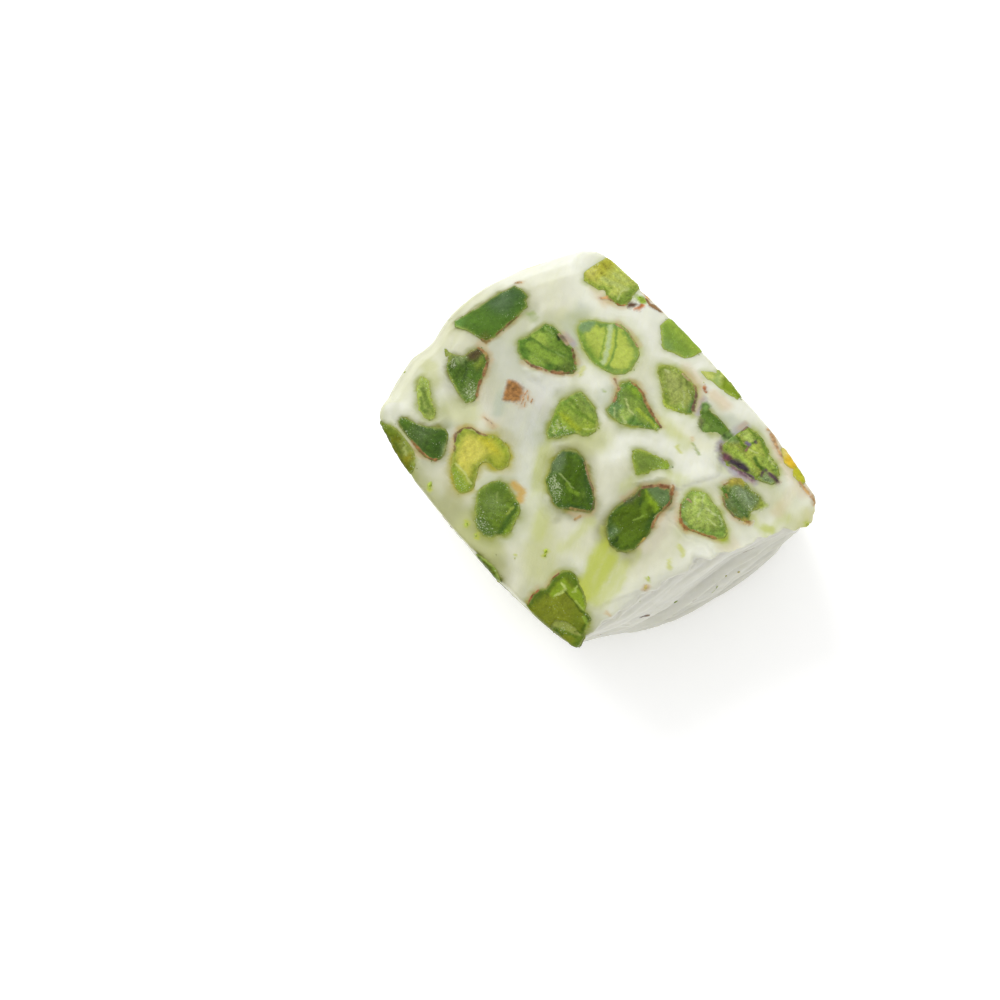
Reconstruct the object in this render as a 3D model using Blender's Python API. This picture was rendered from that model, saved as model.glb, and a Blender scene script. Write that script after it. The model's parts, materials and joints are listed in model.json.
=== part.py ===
"""A cut bar of white pistachio nougat, lying with its broad cut side up.

The nougat is one solid. Each pistachio kernel is a solid of its own: it sits in a pocket of the
nougat and is cut flush with the side that it shows on. The bar stands on its flat base, the origin
is the middle of its footprint, +X runs along it and +Z is up. Sizes below are in millimetres.
"""

import math

import bmesh
import bpy
from mathutils import Matrix, Vector

MM = 0.001

# The bar
HALF_LENGTH = 21.8
HALF_WIDTH = 16.3
HEIGHT = 23.5
LEFT_BOW_FRONT = 0.018  # how fast the left end curves back, per millimetre squared
LEFT_BOW_BACK = 0.021
FRONT_BOW_LEFT = 0.010  # the same for the long sides, towards the left end and the right end
FRONT_BOW_RIGHT = 0.0075
FRONT_STRAIGHT = (-6, -2)  # the front side runs straight between these
BACK_BOW_LEFT = 0.0034
BACK_BOW_RIGHT = 0.008
BACK_WIDEST = 9
SIDE_LEAN = 0.6  # how far the long sides draw in at the base
RIGHT_TOP = 17.3  # where the right end meets the top
RIGHT_BASE = 18.9  # and where it meets the base
RIGHT_FAN = 0.0205  # the top fans out towards the back corner
RIGHT_PULL = 0.003  # and is drawn in a little towards the front corner
RIGHT_TURN = -2  # where the one gives way to the other
RIGHT_TUCK = 0.0255  # the base is drawn in towards the front corner, from here on
RIGHT_TUCK_START = 3
RIGHT_HEEL_PULL = 0.15  # and at the back corner, from here on
RIGHT_HEEL_START = 10
RIGHT_BELLY = 0.6

# Its rounded corners, seen from above, and its rounded long edges
CORNER_RIGHT_BACK, CORNER_LEFT_BACK, CORNER_LEFT_FRONT, CORNER_RIGHT_FRONT = 2.2, 3.0, 2.4, 1.2
CUT_EDGE = 0.5
LEFT_SHOULDER_ACROSS = 4.5
LEFT_SHOULDER_DOWN = 7.5
LEFT_HEEL = 3.0
RIGHT_LIP = 0.4
RIGHT_SHOULDER = 2.4
LIP_END, LIP_FADE = 3, 9  # the lip softens into the shoulder from here, over this length
RIGHT_HEEL = 1.2
CORNER_STEPS = 5
EDGE_STEPS = 4
SIDE_STEPS = (9, 6)  # along the long sides and along the ends
WALL_STEPS = 3

# The kernels
CLEARANCE = 0.3  # between a kernel and its pocket
PROUD = 2.5  # a kernel is modelled this far past the cut, which then trims it
SIDE_INSET = 0.6  # how far inside the bar's widest reach a side kernel's outline is set
CORNER_CUT = 0.24  # share of each outline edge that a rounded corner takes
PLUMP = 0.12  # what a rounded outline swells by, to make up for its cut corners
LEAST_DEPTH, DEPTH_SHARE = 1.4, 0.55  # a side kernel's depth, from its width
LEAST_LEAN = 0.6  # keeps sharp corners from growing into spikes
LEVELS = ((0.0, 1.0), (0.6, 0.84), (1.0, 0.42))  # depth share and width share of a kernel below the cut

COLOURS = {
    "nougat": (0.69, 0.67, 0.50),
    "pistachio_dark": (0.095, 0.170, 0.028),
    "pistachio_mid": (0.215, 0.310, 0.065),
    "pistachio_bright": (0.390, 0.480, 0.110),
    "pistachio_yellow": (0.560, 0.550, 0.100),
}

# Kernels cut by the top: tone, depth, and the corners of the cut outline
TOP_KERNELS = (
    ("bright", 4.0, (-14.5, 15.6), (-9.6, 15.6), (-9.2, 14.0), (-8.85, 13.4), (-8.85, 12.8),
     (-9.3, 12.2), (-10.9, 11.75), (-11.4, 12.1), (-12.0, 12.0), (-12.2, 11.6), (-13.0, 11.4),
     (-14.1, 11.0), (-14.7, 11.5), (-14.7, 12.4), (-14.5, 14.0)),
    ("dark", 4.6, (-18.4, 5.2), (-17.6, 5.5), (-16.4, 5.5), (-16.2, 5.1), (-15.5, 4.8),
     (-15.35, 3.6), (-15.2, 2.3), (-15.2, 0.6), (-15.1, -0.3), (-15.15, -1.4), (-16.6, -1.8),
     (-17.7, -2.2), (-19.0, -3.05), (-19.6, -2.8), (-19.2, -0.6), (-18.95, 1.4), (-18.95, 2.6),
     (-18.6, 4.1)),
    ("dark", 3.8, (-15.4, -2.1), (-14.8, -1.85), (-14.0, -1.85), (-13.4, -2.3), (-12.4, -3.8),
     (-12.0, -4.7), (-11.1, -5.7), (-10.95, -6.3), (-11.1, -7.05), (-12.8, -7.0), (-14.5, -6.7),
     (-15.5, -6.4), (-16.5, -5.8), (-17.75, -5.15), (-16.8, -4.95), (-15.7, -4.1), (-15.6, -2.9)),
    ("mid", 4.2, (-12.95, 5.0), (-12.2, 5.4), (-11.1, 5.6), (-10.2, 5.35), (-8.8, 5.6),
     (-7.5, 4.95), (-6.7, 4.5), (-6.55, 4.0), (-7.4, 2.85), (-8.6, 1.8), (-10.1, 0.9),
     (-11.6, 0.45), (-12.5, 0.65), (-13.4, 1.45), (-13.1, 2.4), (-13.1, 4.1)),
    ("bright", 4.8, (-10.75, 7.9), (-10.6, 7.3), (-10.0, 6.85), (-8.3, 6.2), (-6.6, 6.1),
     (-5.0, 6.55), (-3.8, 7.1), (-3.05, 8.1), (-2.95, 8.9), (-3.3, 9.8), (-3.7, 10.6),
     (-4.3, 11.05), (-5.3, 11.15), (-6.6, 11.3), (-7.5, 11.15), (-8.3, 10.7), (-8.7, 10.2),
     (-9.4, 9.6), (-10.4, 8.7)),
    ("mid", 3.6, (-5.1, 14.9), (-5.05, 14.25), (-4.2, 13.7), (-3.3, 13.0), (-2.7, 12.9),
     (-1.9, 13.35), (-0.5, 14.05), (-0.1, 14.7), (0.1, 15.3), (0.1, 17.4), (-5.1, 17.4)),
    ("mid", 3.0, (-17.0, -8.9), (-16.6, -8.6), (-15.9, -8.5), (-15.2, -8.95), (-13.9, -9.6),
     (-12.8, -10.0), (-12.2, -10.5), (-12.2, -11.1), (-13.0, -11.4), (-13.9, -11.35),
     (-14.8, -10.8), (-15.9, -10.05), (-16.7, -9.4)),
    ("dark", 3.8, (-14.8, -13.35), (-14.3, -12.9), (-13.3, -12.65), (-12.1, -11.85),
     (-11.4, -11.1), (-11.0, -10.55), (-10.5, -10.3), (-9.9, -10.4), (-9.5, -10.75), (-8.9, -11.5),
     (-8.4, -12.1), (-8.2, -12.7), (-8.5, -13.4), (-9.4, -13.9), (-11.5, -14.0), (-14.1, -14.0),
     (-14.6, -13.85)),
    ("yellow", 3.6, (-9.8, -9.2), (-9.6, -8.5), (-9.1, -8.0), (-7.9, -7.7), (-7.3, -7.2),
     (-6.8, -6.6), (-6.0, -6.3), (-4.8, -6.2), (-3.8, -6.6), (-3.1, -7.5), (-3.15, -8.2),
     (-3.7, -8.75), (-5.0, -8.95), (-5.35, -9.5), (-5.2, -10.2), (-4.2, -11.3), (-3.5, -12.2),
     (-3.7, -13.1), (-4.0, -13.6), (-4.8, -13.6), (-6.9, -12.6), (-8.0, -11.5), (-8.6, -10.8),
     (-9.6, -10.0)),
    ("mid", 4.4, (-3.3, -10.9), (-3.1, -9.9), (-2.7, -9.2), (-1.9, -8.8), (-0.6, -8.95),
     (0.7, -9.1), (1.5, -9.5), (2.1, -10.7), (2.7, -11.9), (2.6, -12.5), (2.0, -13.1),
     (1.8, -13.8), (1.1, -14.3), (0.1, -14.35), (-0.9, -14.0), (-1.9, -13.2), (-2.7, -12.3),
     (-3.25, -11.6)),
    ("mid", 4.0, (-5.0, 2.9), (-4.7, 3.4), (-3.8, 3.5), (-2.2, 3.4), (-1.3, 3.0), (-0.4, 2.4),
     (-0.2, 1.9), (-0.35, 1.0), (-0.7, 0.6), (-1.5, 0.2), (-2.1, -1.1), (-2.5, -2.1), (-2.9, -2.6),
     (-3.5, -2.4), (-4.2, -1.2), (-5.0, 0.2), (-5.3, 0.9), (-5.15, 2.0)),
    ("mid", 4.0, (-2.7, 7.2), (-2.5, 7.9), (-2.0, 8.25), (-1.1, 8.45), (-0.4, 8.35), (0.4, 8.0),
     (2.3, 7.7), (3.95, 7.5), (3.8, 7.0), (2.6, 6.0), (2.0, 5.4), (0.7, 4.4), (-0.4, 4.05),
     (-1.5, 4.05), (-1.65, 5.1), (-1.8, 5.6), (-2.3, 6.2)),
    ("bright", 4.0, (-1.85, 11.4), (-1.5, 12.0), (-0.5, 12.7), (1.0, 13.0), (2.6, 13.05),
     (3.3, 12.7), (4.0, 11.9), (4.85, 10.9), (4.5, 10.4), (3.6, 9.9), (2.9, 9.35), (2.2, 9.1),
     (1.3, 9.5), (0.7, 10.15), (-0.4, 10.6), (-1.5, 11.0)),
    ("mid", 3.2, (4.6, 12.4), (5.4, 12.7), (7.2, 12.8), (8.7, 12.85), (8.7, 12.1), (8.3, 11.6),
     (7.2, 10.8), (6.6, 10.5), (6.1, 10.65), (5.5, 11.2), (4.9, 11.7)),
    ("bright", 4.2, (9.15, 10.95), (9.15, 12.0), (9.15, 13.2), (9.2, 14.6), (10.2, 14.95),
     (11.4, 15.0), (12.5, 14.8), (13.4, 14.45), (14.6, 14.4), (15.6, 13.95), (16.1, 13.4),
     (15.9, 12.7), (14.9, 12.1), (14.1, 11.5), (13.1, 11.25), (12.0, 10.6), (11.1, 10.2),
     (10.1, 10.5)),
    ("mid", 3.2, (3.75, 3.8), (3.95, 4.3), (4.8, 4.85), (6.0, 5.35), (6.9, 5.8), (7.75, 5.9),
     (7.9, 5.4), (7.1, 4.7), (6.8, 4.1), (6.7, 3.3), (6.2, 2.2), (5.3, 2.5), (4.1, 3.2)),
    ("dark", 4.6, (-1.2, -2.1), (-0.8, -1.5), (-0.2, -0.95), (0.5, -0.8), (1.3, -0.9), (2.6, -1.5),
     (4.3, -2.0), (5.6, -2.8), (6.25, -3.4), (6.3, -3.9), (5.1, -4.95), (4.3, -5.7), (3.7, -6.45),
     (2.9, -6.55), (1.4, -6.0), (0.3, -5.4), (0.1, -4.8), (-0.7, -3.7)),
    ("dark", 4.6, (8.3, 3.7), (9.0, 4.2), (9.9, 4.2), (10.6, 3.6), (10.7, 2.4), (10.9, 1.2),
     (11.6, 0.1), (11.95, -1.0), (12.2, -2.7), (11.9, -3.8), (11.2, -4.5), (10.2, -4.65),
     (9.3, -4.3), (8.3, -3.75), (7.6, -2.9), (7.25, -1.4), (7.4, 0.3), (7.3, 2.0), (7.8, 2.9)),
    ("bright", 4.2, (10.8, 5.2), (10.9, 5.9), (11.6, 6.55), (12.3, 6.9), (13.1, 6.75), (14.8, 6.8),
     (16.2, 6.3), (17.0, 5.9), (17.15, 5.3), (16.5, 4.4), (15.1, 3.6), (14.2, 3.0), (13.6, 2.65),
     (12.9, 2.65), (12.0, 3.3), (11.3, 4.0)),
    ("mid", 3.8, (12.6, 9.3), (12.75, 10.2), (13.2, 10.6), (14.1, 10.7), (14.9, 10.65),
     (15.9, 10.95), (16.85, 10.75), (16.95, 10.0), (16.7, 9.4), (17.0, 8.8), (17.5, 8.3),
     (16.8, 7.75), (16.0, 7.4), (14.2, 7.4), (13.5, 7.85), (12.5, 8.2), (12.5, 8.7), (12.9, 9.0)),
    ("mid", 5.0, (8.95, -10.4), (9.05, -9.8), (9.5, -9.3), (10.2, -9.1), (11.0, -9.25),
     (13.0, -9.8), (13.7, -10.25), (14.1, -10.7), (15.2, -10.8), (15.7, -11.6), (16.2, -12.5),
     (16.5, -13.2), (17.0, -13.8), (16.4, -17.4), (9.6, -17.4), (9.5, -15.0), (8.95, -14.0),
     (9.05, -13.2), (9.45, -12.6), (9.3, -11.9), (9.0, -11.2)),
    ("mid", 3.8, (-16.2, -15.35), (-15.4, -15.15), (-14.6, -14.6), (-13.8, -14.4), (-12.0, -14.4),
     (-10.8, -14.45), (-10.0, -14.8), (-9.3, -15.4), (-9.0, -16.0), (-8.9, -17.6), (-15.8, -17.6)),
    ("dark", 3.4, (1.2, -16.4), (2.6, -15.8), (3.6, -15.45), (4.8, -15.4), (6.2, -15.8),
     (6.0, -17.6), (2.0, -17.6)),
    ("bright", 3.4, (1.5, 14.4), (2.5, 14.5), (3.8, 14.8), (5.0, 15.1), (6.6, 15.65), (6.6, 17.4),
     (2.6, 17.4), (2.6, 15.5)),
    ("yellow", 2.8, (13.2, 15.9), (14.7, 15.15), (15.9, 15.25), (16.6, 15.0), (17.8, 15.05),
     (17.6, 17.6), (13.4, 17.6)),
)

# Cut outlines of the kernels on the other sides, one unit wide each way
FORMS = {
    "oval": ((-1.0, 0.2), (-0.55, 0.95), (0.5, 1.0), (1.0, 0.1), (0.6, -0.9), (-0.6, -0.95)),
    "wedge": ((-1.0, -0.5), (-0.8, 0.6), (0.1, 1.0), (1.0, 0.7), (0.75, -0.4), (-0.1, -1.0)),
    "slab": ((-1.0, -0.9), (-0.95, 0.8), (0.2, 1.0), (1.0, 0.75), (0.9, -0.95)),
    "half": ((-1.0, -0.75), (-0.75, 0.5), (0.0, 1.0), (0.8, 0.55), (1.0, -0.7), (0.0, -0.95)),
}

# side: form, tone, place along and up (or across) that side, length, width, turn in degrees
SIDE_KERNELS = {
    "front": (
        ("wedge", "dark", -13.6, 12.2, 8.0, 4.8, 20),
        ("oval", "mid", -4.4, 14.6, 6.6, 4.6, -35),
        ("slab", "bright", -6.8, 6.0, 8.4, 4.0, 8),
        ("half", "mid", 3.6, 9.2, 7.4, 4.8, 62),
        ("wedge", "bright", 10.2, 11.6, 5.8, 4.0, -18),
    ),
    "back": (
        ("half", "mid", 14.0, 13.2, 7.4, 4.6, 25),
        ("wedge", "dark", 6.0, 6.8, 8.2, 4.6, -14),
        ("oval", "bright", -0.6, 14.6, 6.8, 4.8, 72),
        ("slab", "mid", -8.0, 6.6, 8.4, 4.4, 18),
        ("wedge", "mid", -14.2, 13.4, 6.4, 4.2, -40),
    ),
    "left": (("slab", "mid", 5.0, 9.6, 6.2, 3.4, 12),),
    "base": (
        ("oval", "mid", -14.2, -8.2, 8.0, 5.0, -30),
        ("wedge", "dark", -13.0, 5.6, 7.4, 5.0, 48),
        ("slab", "bright", -4.6, 10.6, 8.4, 4.2, -6),
        ("half", "mid", -5.4, -9.8, 7.0, 4.6, -64),
        ("wedge", "mid", 4.6, 5.8, 8.8, 5.0, 24),
        ("oval", "dark", 5.4, -8.0, 7.6, 4.8, -38),
        ("slab", "bright", 11.4, -0.6, 6.8, 4.4, 68),
    ),
}


def clear_scene():
    for found in list(bpy.data.objects):
        bpy.data.objects.remove(found, do_unlink=True)


def blend(low, high, share):
    return low + (high - low) * share


def smooth(share):
    share = min(1.0, max(0.0, share))
    return share * share * (3 - 2 * share)


def principled(name, colour, roughness):
    made = bpy.data.materials.new(name)
    made.use_nodes = True
    shader = made.node_tree.nodes["Principled BSDF"]
    shader.inputs["Base Color"].default_value = (*colour, 1)
    shader.inputs["Roughness"].default_value = roughness
    shader.inputs["Metallic"].default_value = 0
    return made


def solid(name, rings, material=None):
    """One closed body from rings of points, lowest ring first, each going round anticlockwise."""
    work = bmesh.new()
    loops = [[work.verts.new(point * MM) for point in ring] for ring in rings]
    work.faces.new(reversed(loops[0]))
    work.faces.new(loops[-1])
    for lower, upper in zip(loops, loops[1:]):
        count = len(lower)
        for i in range(count):
            j = (i + 1) % count
            work.faces.new((lower[i], lower[j], upper[j], upper[i]))
    mesh = bpy.data.meshes.new(name)
    work.to_mesh(mesh)
    work.free()
    if material:
        mesh.materials.append(material)
    mesh.shade_smooth()
    mesh.set_sharp_from_angle(angle=math.radians(35))
    made = bpy.data.objects.new(name, mesh)
    bpy.context.scene.collection.objects.link(made)
    return made


def boolean(target, operation, other):
    cut = target.modifiers.new(other.name, "BOOLEAN")
    cut.operation = operation
    cut.solver = "EXACT"
    cut.object = other


def as_cutter(made):
    made.hide_render = True
    made.display_type = "WIRE"
    return made


# The bar's sides


def left_end(y):
    return -HALF_LENGTH + (LEFT_BOW_BACK if y > 0 else LEFT_BOW_FRONT) * y * y


def right_end(y, z):
    """The torn end: its top fans out towards the back, its base is drawn in towards the front."""
    from_turn = y - RIGHT_TURN
    top = min(HALF_LENGTH, RIGHT_TOP + RIGHT_FAN * max(0, from_turn) ** 2)
    top -= RIGHT_PULL * min(0, from_turn) ** 2
    base = RIGHT_BASE - RIGHT_TUCK * max(0, RIGHT_TUCK_START - y) ** 2
    base -= RIGHT_HEEL_PULL * max(0, y - RIGHT_HEEL_START) ** 2
    rise = z / HEIGHT
    return blend(base, top, rise) + RIGHT_BELLY * 4 * rise * (1 - rise)


def front_side(x, z):
    left, right = FRONT_STRAIGHT
    bow = FRONT_BOW_LEFT * min(0, x - left) ** 2 + FRONT_BOW_RIGHT * max(0, x - right) ** 2
    return -HALF_WIDTH + bow + SIDE_LEAN * (1 - z / HEIGHT) ** 2


def back_side(x, z):
    from_widest = x - BACK_WIDEST
    bow = BACK_BOW_LEFT * min(0, from_widest) ** 2 + BACK_BOW_RIGHT * max(0, from_widest) ** 2
    return HALF_WIDTH - bow - SIDE_LEAN * (1 - z / HEIGHT) ** 2


def bend(x, y, z):
    """Moves a point of a plain block to its place in the bar."""
    across = (y / HALF_WIDTH + 1) / 2
    along = (x / HALF_LENGTH + 1) / 2
    for _ in range(2):
        x = blend(left_end(y), right_end(y, z), along)
        y = blend(front_side(x, z), back_side(x, z), across)
    return Vector((x, y, z))


def plain_outline():
    """The plan of the plain block: points with their outward directions, anticlockwise."""
    corners = (
        (1, 1, CORNER_RIGHT_BACK),
        (-1, 1, CORNER_LEFT_BACK),
        (-1, -1, CORNER_LEFT_FRONT),
        (1, -1, CORNER_RIGHT_FRONT),
    )
    outline = []
    for i, (side_x, side_y, radius) in enumerate(corners):
        centre = Vector((side_x * (HALF_LENGTH - radius), side_y * (HALF_WIDTH - radius)))
        for step in range(CORNER_STEPS + 1):
            turn = math.radians(90 * (i + step / CORNER_STEPS))
            outward = Vector((math.cos(turn), math.sin(turn)))
            outline.append((centre + outward * radius, outward))
        next_x, next_y, next_radius = corners[(i + 1) % 4]
        next_centre = Vector((next_x * (HALF_LENGTH - next_radius), next_y * (HALF_WIDTH - next_radius)))
        start, end = outline[-1][0], next_centre + outward * next_radius
        for step in range(1, SIDE_STEPS[i % 2]):
            outline.append((start.lerp(end, step / SIDE_STEPS[i % 2]), outward))
    return outline


def top_edge(point, outward):
    """How far the top edge's rounding reaches in and down: crisp along the cut sides, a soft
    shoulder at the left end, and a torn lip at the right end that softens towards the front."""
    if outward.x < 0:
        across, down = LEFT_SHOULDER_ACROSS, LEFT_SHOULDER_DOWN
    else:
        across = down = blend(RIGHT_LIP, RIGHT_SHOULDER, smooth((LIP_END - point.y) / LIP_FADE))
    at_end = outward.x**2
    return blend(CUT_EDGE, across, at_end), blend(CUT_EDGE, down, at_end)


def base_edge(outward):
    return blend(CUT_EDGE, LEFT_HEEL if outward.x < 0 else RIGHT_HEEL, outward.x**2)


def bar_rings():
    """The bar's outline at each height: the heel, the walls and the shoulder."""
    arc = [math.radians(90 * step / EDGE_STEPS) for step in range(EDGE_STEPS + 1)]
    columns = []
    for point, outward in plain_outline():
        heel = base_edge(outward)
        across, down = top_edge(point, outward)
        profile = [(heel * (1 - math.sin(turn)), heel * (1 - math.cos(turn))) for turn in arc]
        for step in range(1, WALL_STEPS):
            profile.append((0, blend(heel, HEIGHT - down, step / WALL_STEPS)))
        for turn in reversed(arc):
            profile.append((across * (1 - math.sin(turn)), HEIGHT - down * (1 - math.cos(turn))))
        column = []
        for inset, z in profile:
            inner = point - outward * inset
            column.append(bend(inner.x, inner.y, z))
        columns.append(column)
    return list(zip(*columns))


# The kernels


def rounded(corners):
    """The outline with each corner cut off, so that it reads as round, and swollen to its size."""
    points = [Vector(corner) for corner in corners]
    outline = []
    for i, corner in enumerate(points):
        before, after = points[i - 1], points[(i + 1) % len(points)]
        outline += [corner.lerp(before, CORNER_CUT), corner.lerp(after, CORNER_CUT)]
    if signed_area(outline) < 0:
        outline.reverse()
    return grown(outline, PLUMP)


def grown(outline, by):
    """The outline moved outwards by one distance all round."""
    count = len(outline)
    moved = []
    for i, point in enumerate(outline):
        before = (point - outline[i - 1]).normalized()
        after = (outline[(i + 1) % count] - point).normalized()
        bisector = Vector((before.y + after.y, -before.x - after.x)).normalized()
        lean = bisector.dot(Vector((after.y, -after.x)))
        moved.append(point + bisector * by / max(lean, LEAST_LEAN))
    return moved


def signed_area(outline):
    pairs = zip(outline, outline[1:] + outline[:1])
    return sum(a.x * b.y - b.x * a.y for a, b in pairs) / 2


def middle_of(outline):
    return sum(outline, Vector((0, 0))) / len(outline)


def kernel_rings(outline, depth, place, spare):
    """A kernel's rings, deepest first: it narrows and rounds off below the cut."""
    middle = middle_of(outline)
    rim = grown(outline, spare) if spare else outline
    rings = []
    for depth_share, width_share in reversed(LEVELS):
        below = -(depth + spare) * depth_share
        rings.append([place @ (middle + (point - middle) * width_share).to_3d() for point in rim])
        drop = place.to_3x3() @ Vector((0, 0, below))
        rings[-1] = [point + drop for point in rings[-1]]
    rise = place.to_3x3() @ Vector((0, 0, PROUD))
    rings[-1] = [point + rise for point in rings[-1]]
    return rings


def add_kernel(name, tone, outline, depth, place, bar, nougat, materials):
    """Sets one kernel into the nougat, in a pocket a little larger than itself."""
    if signed_area(outline) < 0:
        outline = outline[::-1]
    kernel = solid(name, kernel_rings(outline, depth, place, 0), materials["pistachio_" + tone])
    boolean(kernel, "INTERSECT", bar)
    pocket = solid(name + "_pocket", kernel_rings(outline, depth, place, CLEARANCE))
    boolean(nougat, "DIFFERENCE", as_cutter(pocket))


def side_places():
    """A frame on each side: x along it, y up or across it, z straight out."""

    def place(along, up, out, origin):
        return Matrix.Translation(origin) @ Matrix((along, up, out)).transposed().to_4x4()

    x, y, z = Vector((1, 0, 0)), Vector((0, 1, 0)), Vector((0, 0, 1))
    return {
        "top": place(x, y, z, z * HEIGHT),
        "base": place(x, -y, -z, Vector((0, 0, 0))),
        "front": place(x, z, -y, -y * (HALF_WIDTH - SIDE_INSET)),
        "back": place(-x, z, y, y * (HALF_WIDTH - SIDE_INSET)),
        "left": place(-y, z, -x, -x * (HALF_LENGTH - SIDE_INSET)),
    }


def form_outline(form, along, up, length, width, turn):
    angle = math.radians(turn)
    cos, sin = math.cos(angle), math.sin(angle)
    corners = []
    for unit_x, unit_y in FORMS[form]:
        x, y = unit_x * length / 2, unit_y * width / 2
        corners.append((along + x * cos - y * sin, up + x * sin + y * cos))
    return rounded(corners)


def main():
    clear_scene()
    materials = {name: principled(name, colour, 0.55) for name, colour in COLOURS.items()}
    rings = bar_rings()
    bar = as_cutter(solid("bar", rings))
    nougat = solid("nougat", rings, materials["nougat"])
    places = side_places()
    for number, (tone, depth, *corners) in enumerate(TOP_KERNELS, 1):
        name = f"pistachio_top_{number:02d}"
        outline = [Vector(corner) for corner in corners]
        add_kernel(name, tone, outline, depth, places["top"], bar, nougat, materials)
    for side, kernels in SIDE_KERNELS.items():
        for number, (form, tone, along, up, length, width, turn) in enumerate(kernels, 1):
            outline = form_outline(form, along, up, length, width, turn)
            name = f"pistachio_{side}_{number:02d}"
            depth = LEAST_DEPTH + DEPTH_SHARE * width
            add_kernel(name, tone, outline, depth, places[side], bar, nougat, materials)


main()
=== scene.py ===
import json
import math
import random

import bmesh
import bpy
import numpy as np
from mathutils import Matrix, Vector, noise
from mathutils.bvhtree import BVHTree
from mathutils.kdtree import KDTree

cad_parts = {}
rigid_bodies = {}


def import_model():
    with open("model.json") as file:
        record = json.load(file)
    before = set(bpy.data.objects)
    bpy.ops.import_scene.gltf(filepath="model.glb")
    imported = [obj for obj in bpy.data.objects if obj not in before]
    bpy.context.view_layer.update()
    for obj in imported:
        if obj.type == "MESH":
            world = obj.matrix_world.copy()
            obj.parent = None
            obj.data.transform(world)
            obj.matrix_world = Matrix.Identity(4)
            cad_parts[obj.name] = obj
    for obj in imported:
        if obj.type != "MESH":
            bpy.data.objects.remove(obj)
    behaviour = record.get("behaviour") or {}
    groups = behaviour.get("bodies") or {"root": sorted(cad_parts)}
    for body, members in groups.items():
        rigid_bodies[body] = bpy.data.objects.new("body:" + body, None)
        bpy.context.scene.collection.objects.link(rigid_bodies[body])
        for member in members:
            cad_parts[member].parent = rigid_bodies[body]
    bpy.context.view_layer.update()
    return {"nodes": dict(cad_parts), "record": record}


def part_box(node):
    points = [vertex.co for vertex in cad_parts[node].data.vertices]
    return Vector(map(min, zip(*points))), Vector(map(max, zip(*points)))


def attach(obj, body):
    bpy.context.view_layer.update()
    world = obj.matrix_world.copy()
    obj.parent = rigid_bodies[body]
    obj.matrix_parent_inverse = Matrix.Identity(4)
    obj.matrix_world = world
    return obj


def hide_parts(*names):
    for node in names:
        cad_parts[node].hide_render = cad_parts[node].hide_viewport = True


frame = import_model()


# ---------------------------------------------------------------- the nougat block
# One oblong block of soft white nougat, whipped from sugar, honey and egg white, pressed
# into a slab and cut across with a knife. The knife leaves its broad faces smooth and faintly
# drawn, pulls its right end into long creases, and drags green off the nuts it goes through.

MM = 0.001
BLOCK_GRAIN = 0.27  # the size of the block's faces, in millimetres like all the sizes here
GAP = 0.3  # swollen by this, the block and the nuts in it run together
WELD = 0.005
FLOOR_GAP = 0.02
KERNELS = sorted(name for name in frame["nodes"] if name != "nougat")
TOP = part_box("nougat")[1].z / MM


def pick(piece):
    """Makes one piece the only one selected."""
    bpy.ops.object.select_all(action="DESELECT")
    piece.select_set(True)
    bpy.context.view_layer.objects.active = piece


def cad_copy(node, name):
    """A copy of a CAD node under a new name, its loose triangles joined up."""
    piece = bpy.data.objects.new(name, frame["nodes"][node].data.copy())
    bpy.context.scene.collection.objects.link(piece)
    pick(piece)
    bpy.ops.object.mode_set(mode="EDIT")
    bpy.ops.mesh.select_all(action="SELECT")
    bpy.ops.mesh.remove_doubles(threshold=WELD * MM)
    bpy.ops.object.mode_set(mode="OBJECT")
    return piece


def finish_with(piece, kind, **values):
    """Adds one modifier to a piece, sets it and applies it."""
    pick(piece)
    modifier = piece.modifiers.new(kind, kind)
    for key, value in values.items():
        setattr(modifier, key, value)
    bpy.ops.object.modifier_apply(modifier=modifier.name)


def keep_shell(piece):
    """Leaves only the shell that holds a piece's highest point, and so drops hollows inside it."""
    places = read(piece)
    pick(piece)
    bpy.ops.object.mode_set(mode="EDIT")
    bpy.ops.mesh.select_mode(type="VERT")
    bpy.ops.mesh.select_all(action="DESELECT")
    bpy.ops.object.mode_set(mode="OBJECT")
    piece.data.vertices[int(places[:, 2].argmax())].select = True
    bpy.ops.object.mode_set(mode="EDIT")
    bpy.ops.mesh.select_linked()
    bpy.ops.mesh.select_all(action="INVERT")
    bpy.ops.mesh.delete(type="VERT")
    bpy.ops.object.mode_set(mode="OBJECT")


def read(piece, what="co"):
    """The places or normals of a piece's points, the places in millimetres."""
    source = piece.data.vertices if what == "co" else piece.data.vertex_normals
    values = np.empty(len(piece.data.vertices) * 3, np.float32)
    source.foreach_get("co" if what == "co" else "vector", values)
    return values.reshape(-1, 3).astype(float) / (MM if what == "co" else 1)


def write(piece, places):
    """Puts a piece's points back in their new places, given in millimetres."""
    piece.data.vertices.foreach_set("co", (places * MM).astype(np.float32).ravel())
    piece.data.update()


def mask(piece, layer, values):
    """Keeps one value a point on a piece, for its material to read."""
    attribute = piece.data.attributes.new(layer, "FLOAT", "POINT")
    attribute.data.foreach_set("value", np.asarray(values, np.float32))


def smooth(t):
    """An even step from 0 to 1 while t goes from 0 to 1."""
    t = np.clip(t, 0, 1)
    return t * t * (3 - 2 * t)


def cloud(places, size, seed, octaves=3):
    """Soft random lumps of a size in millimetres, from about -1 to 1."""
    shift = np.array([17.3, 5.1, 9.7]) * seed
    return np.array([noise.fractal(p, 1.0, 2.0, octaves) for p in (places / size + shift).tolist()])


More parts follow.
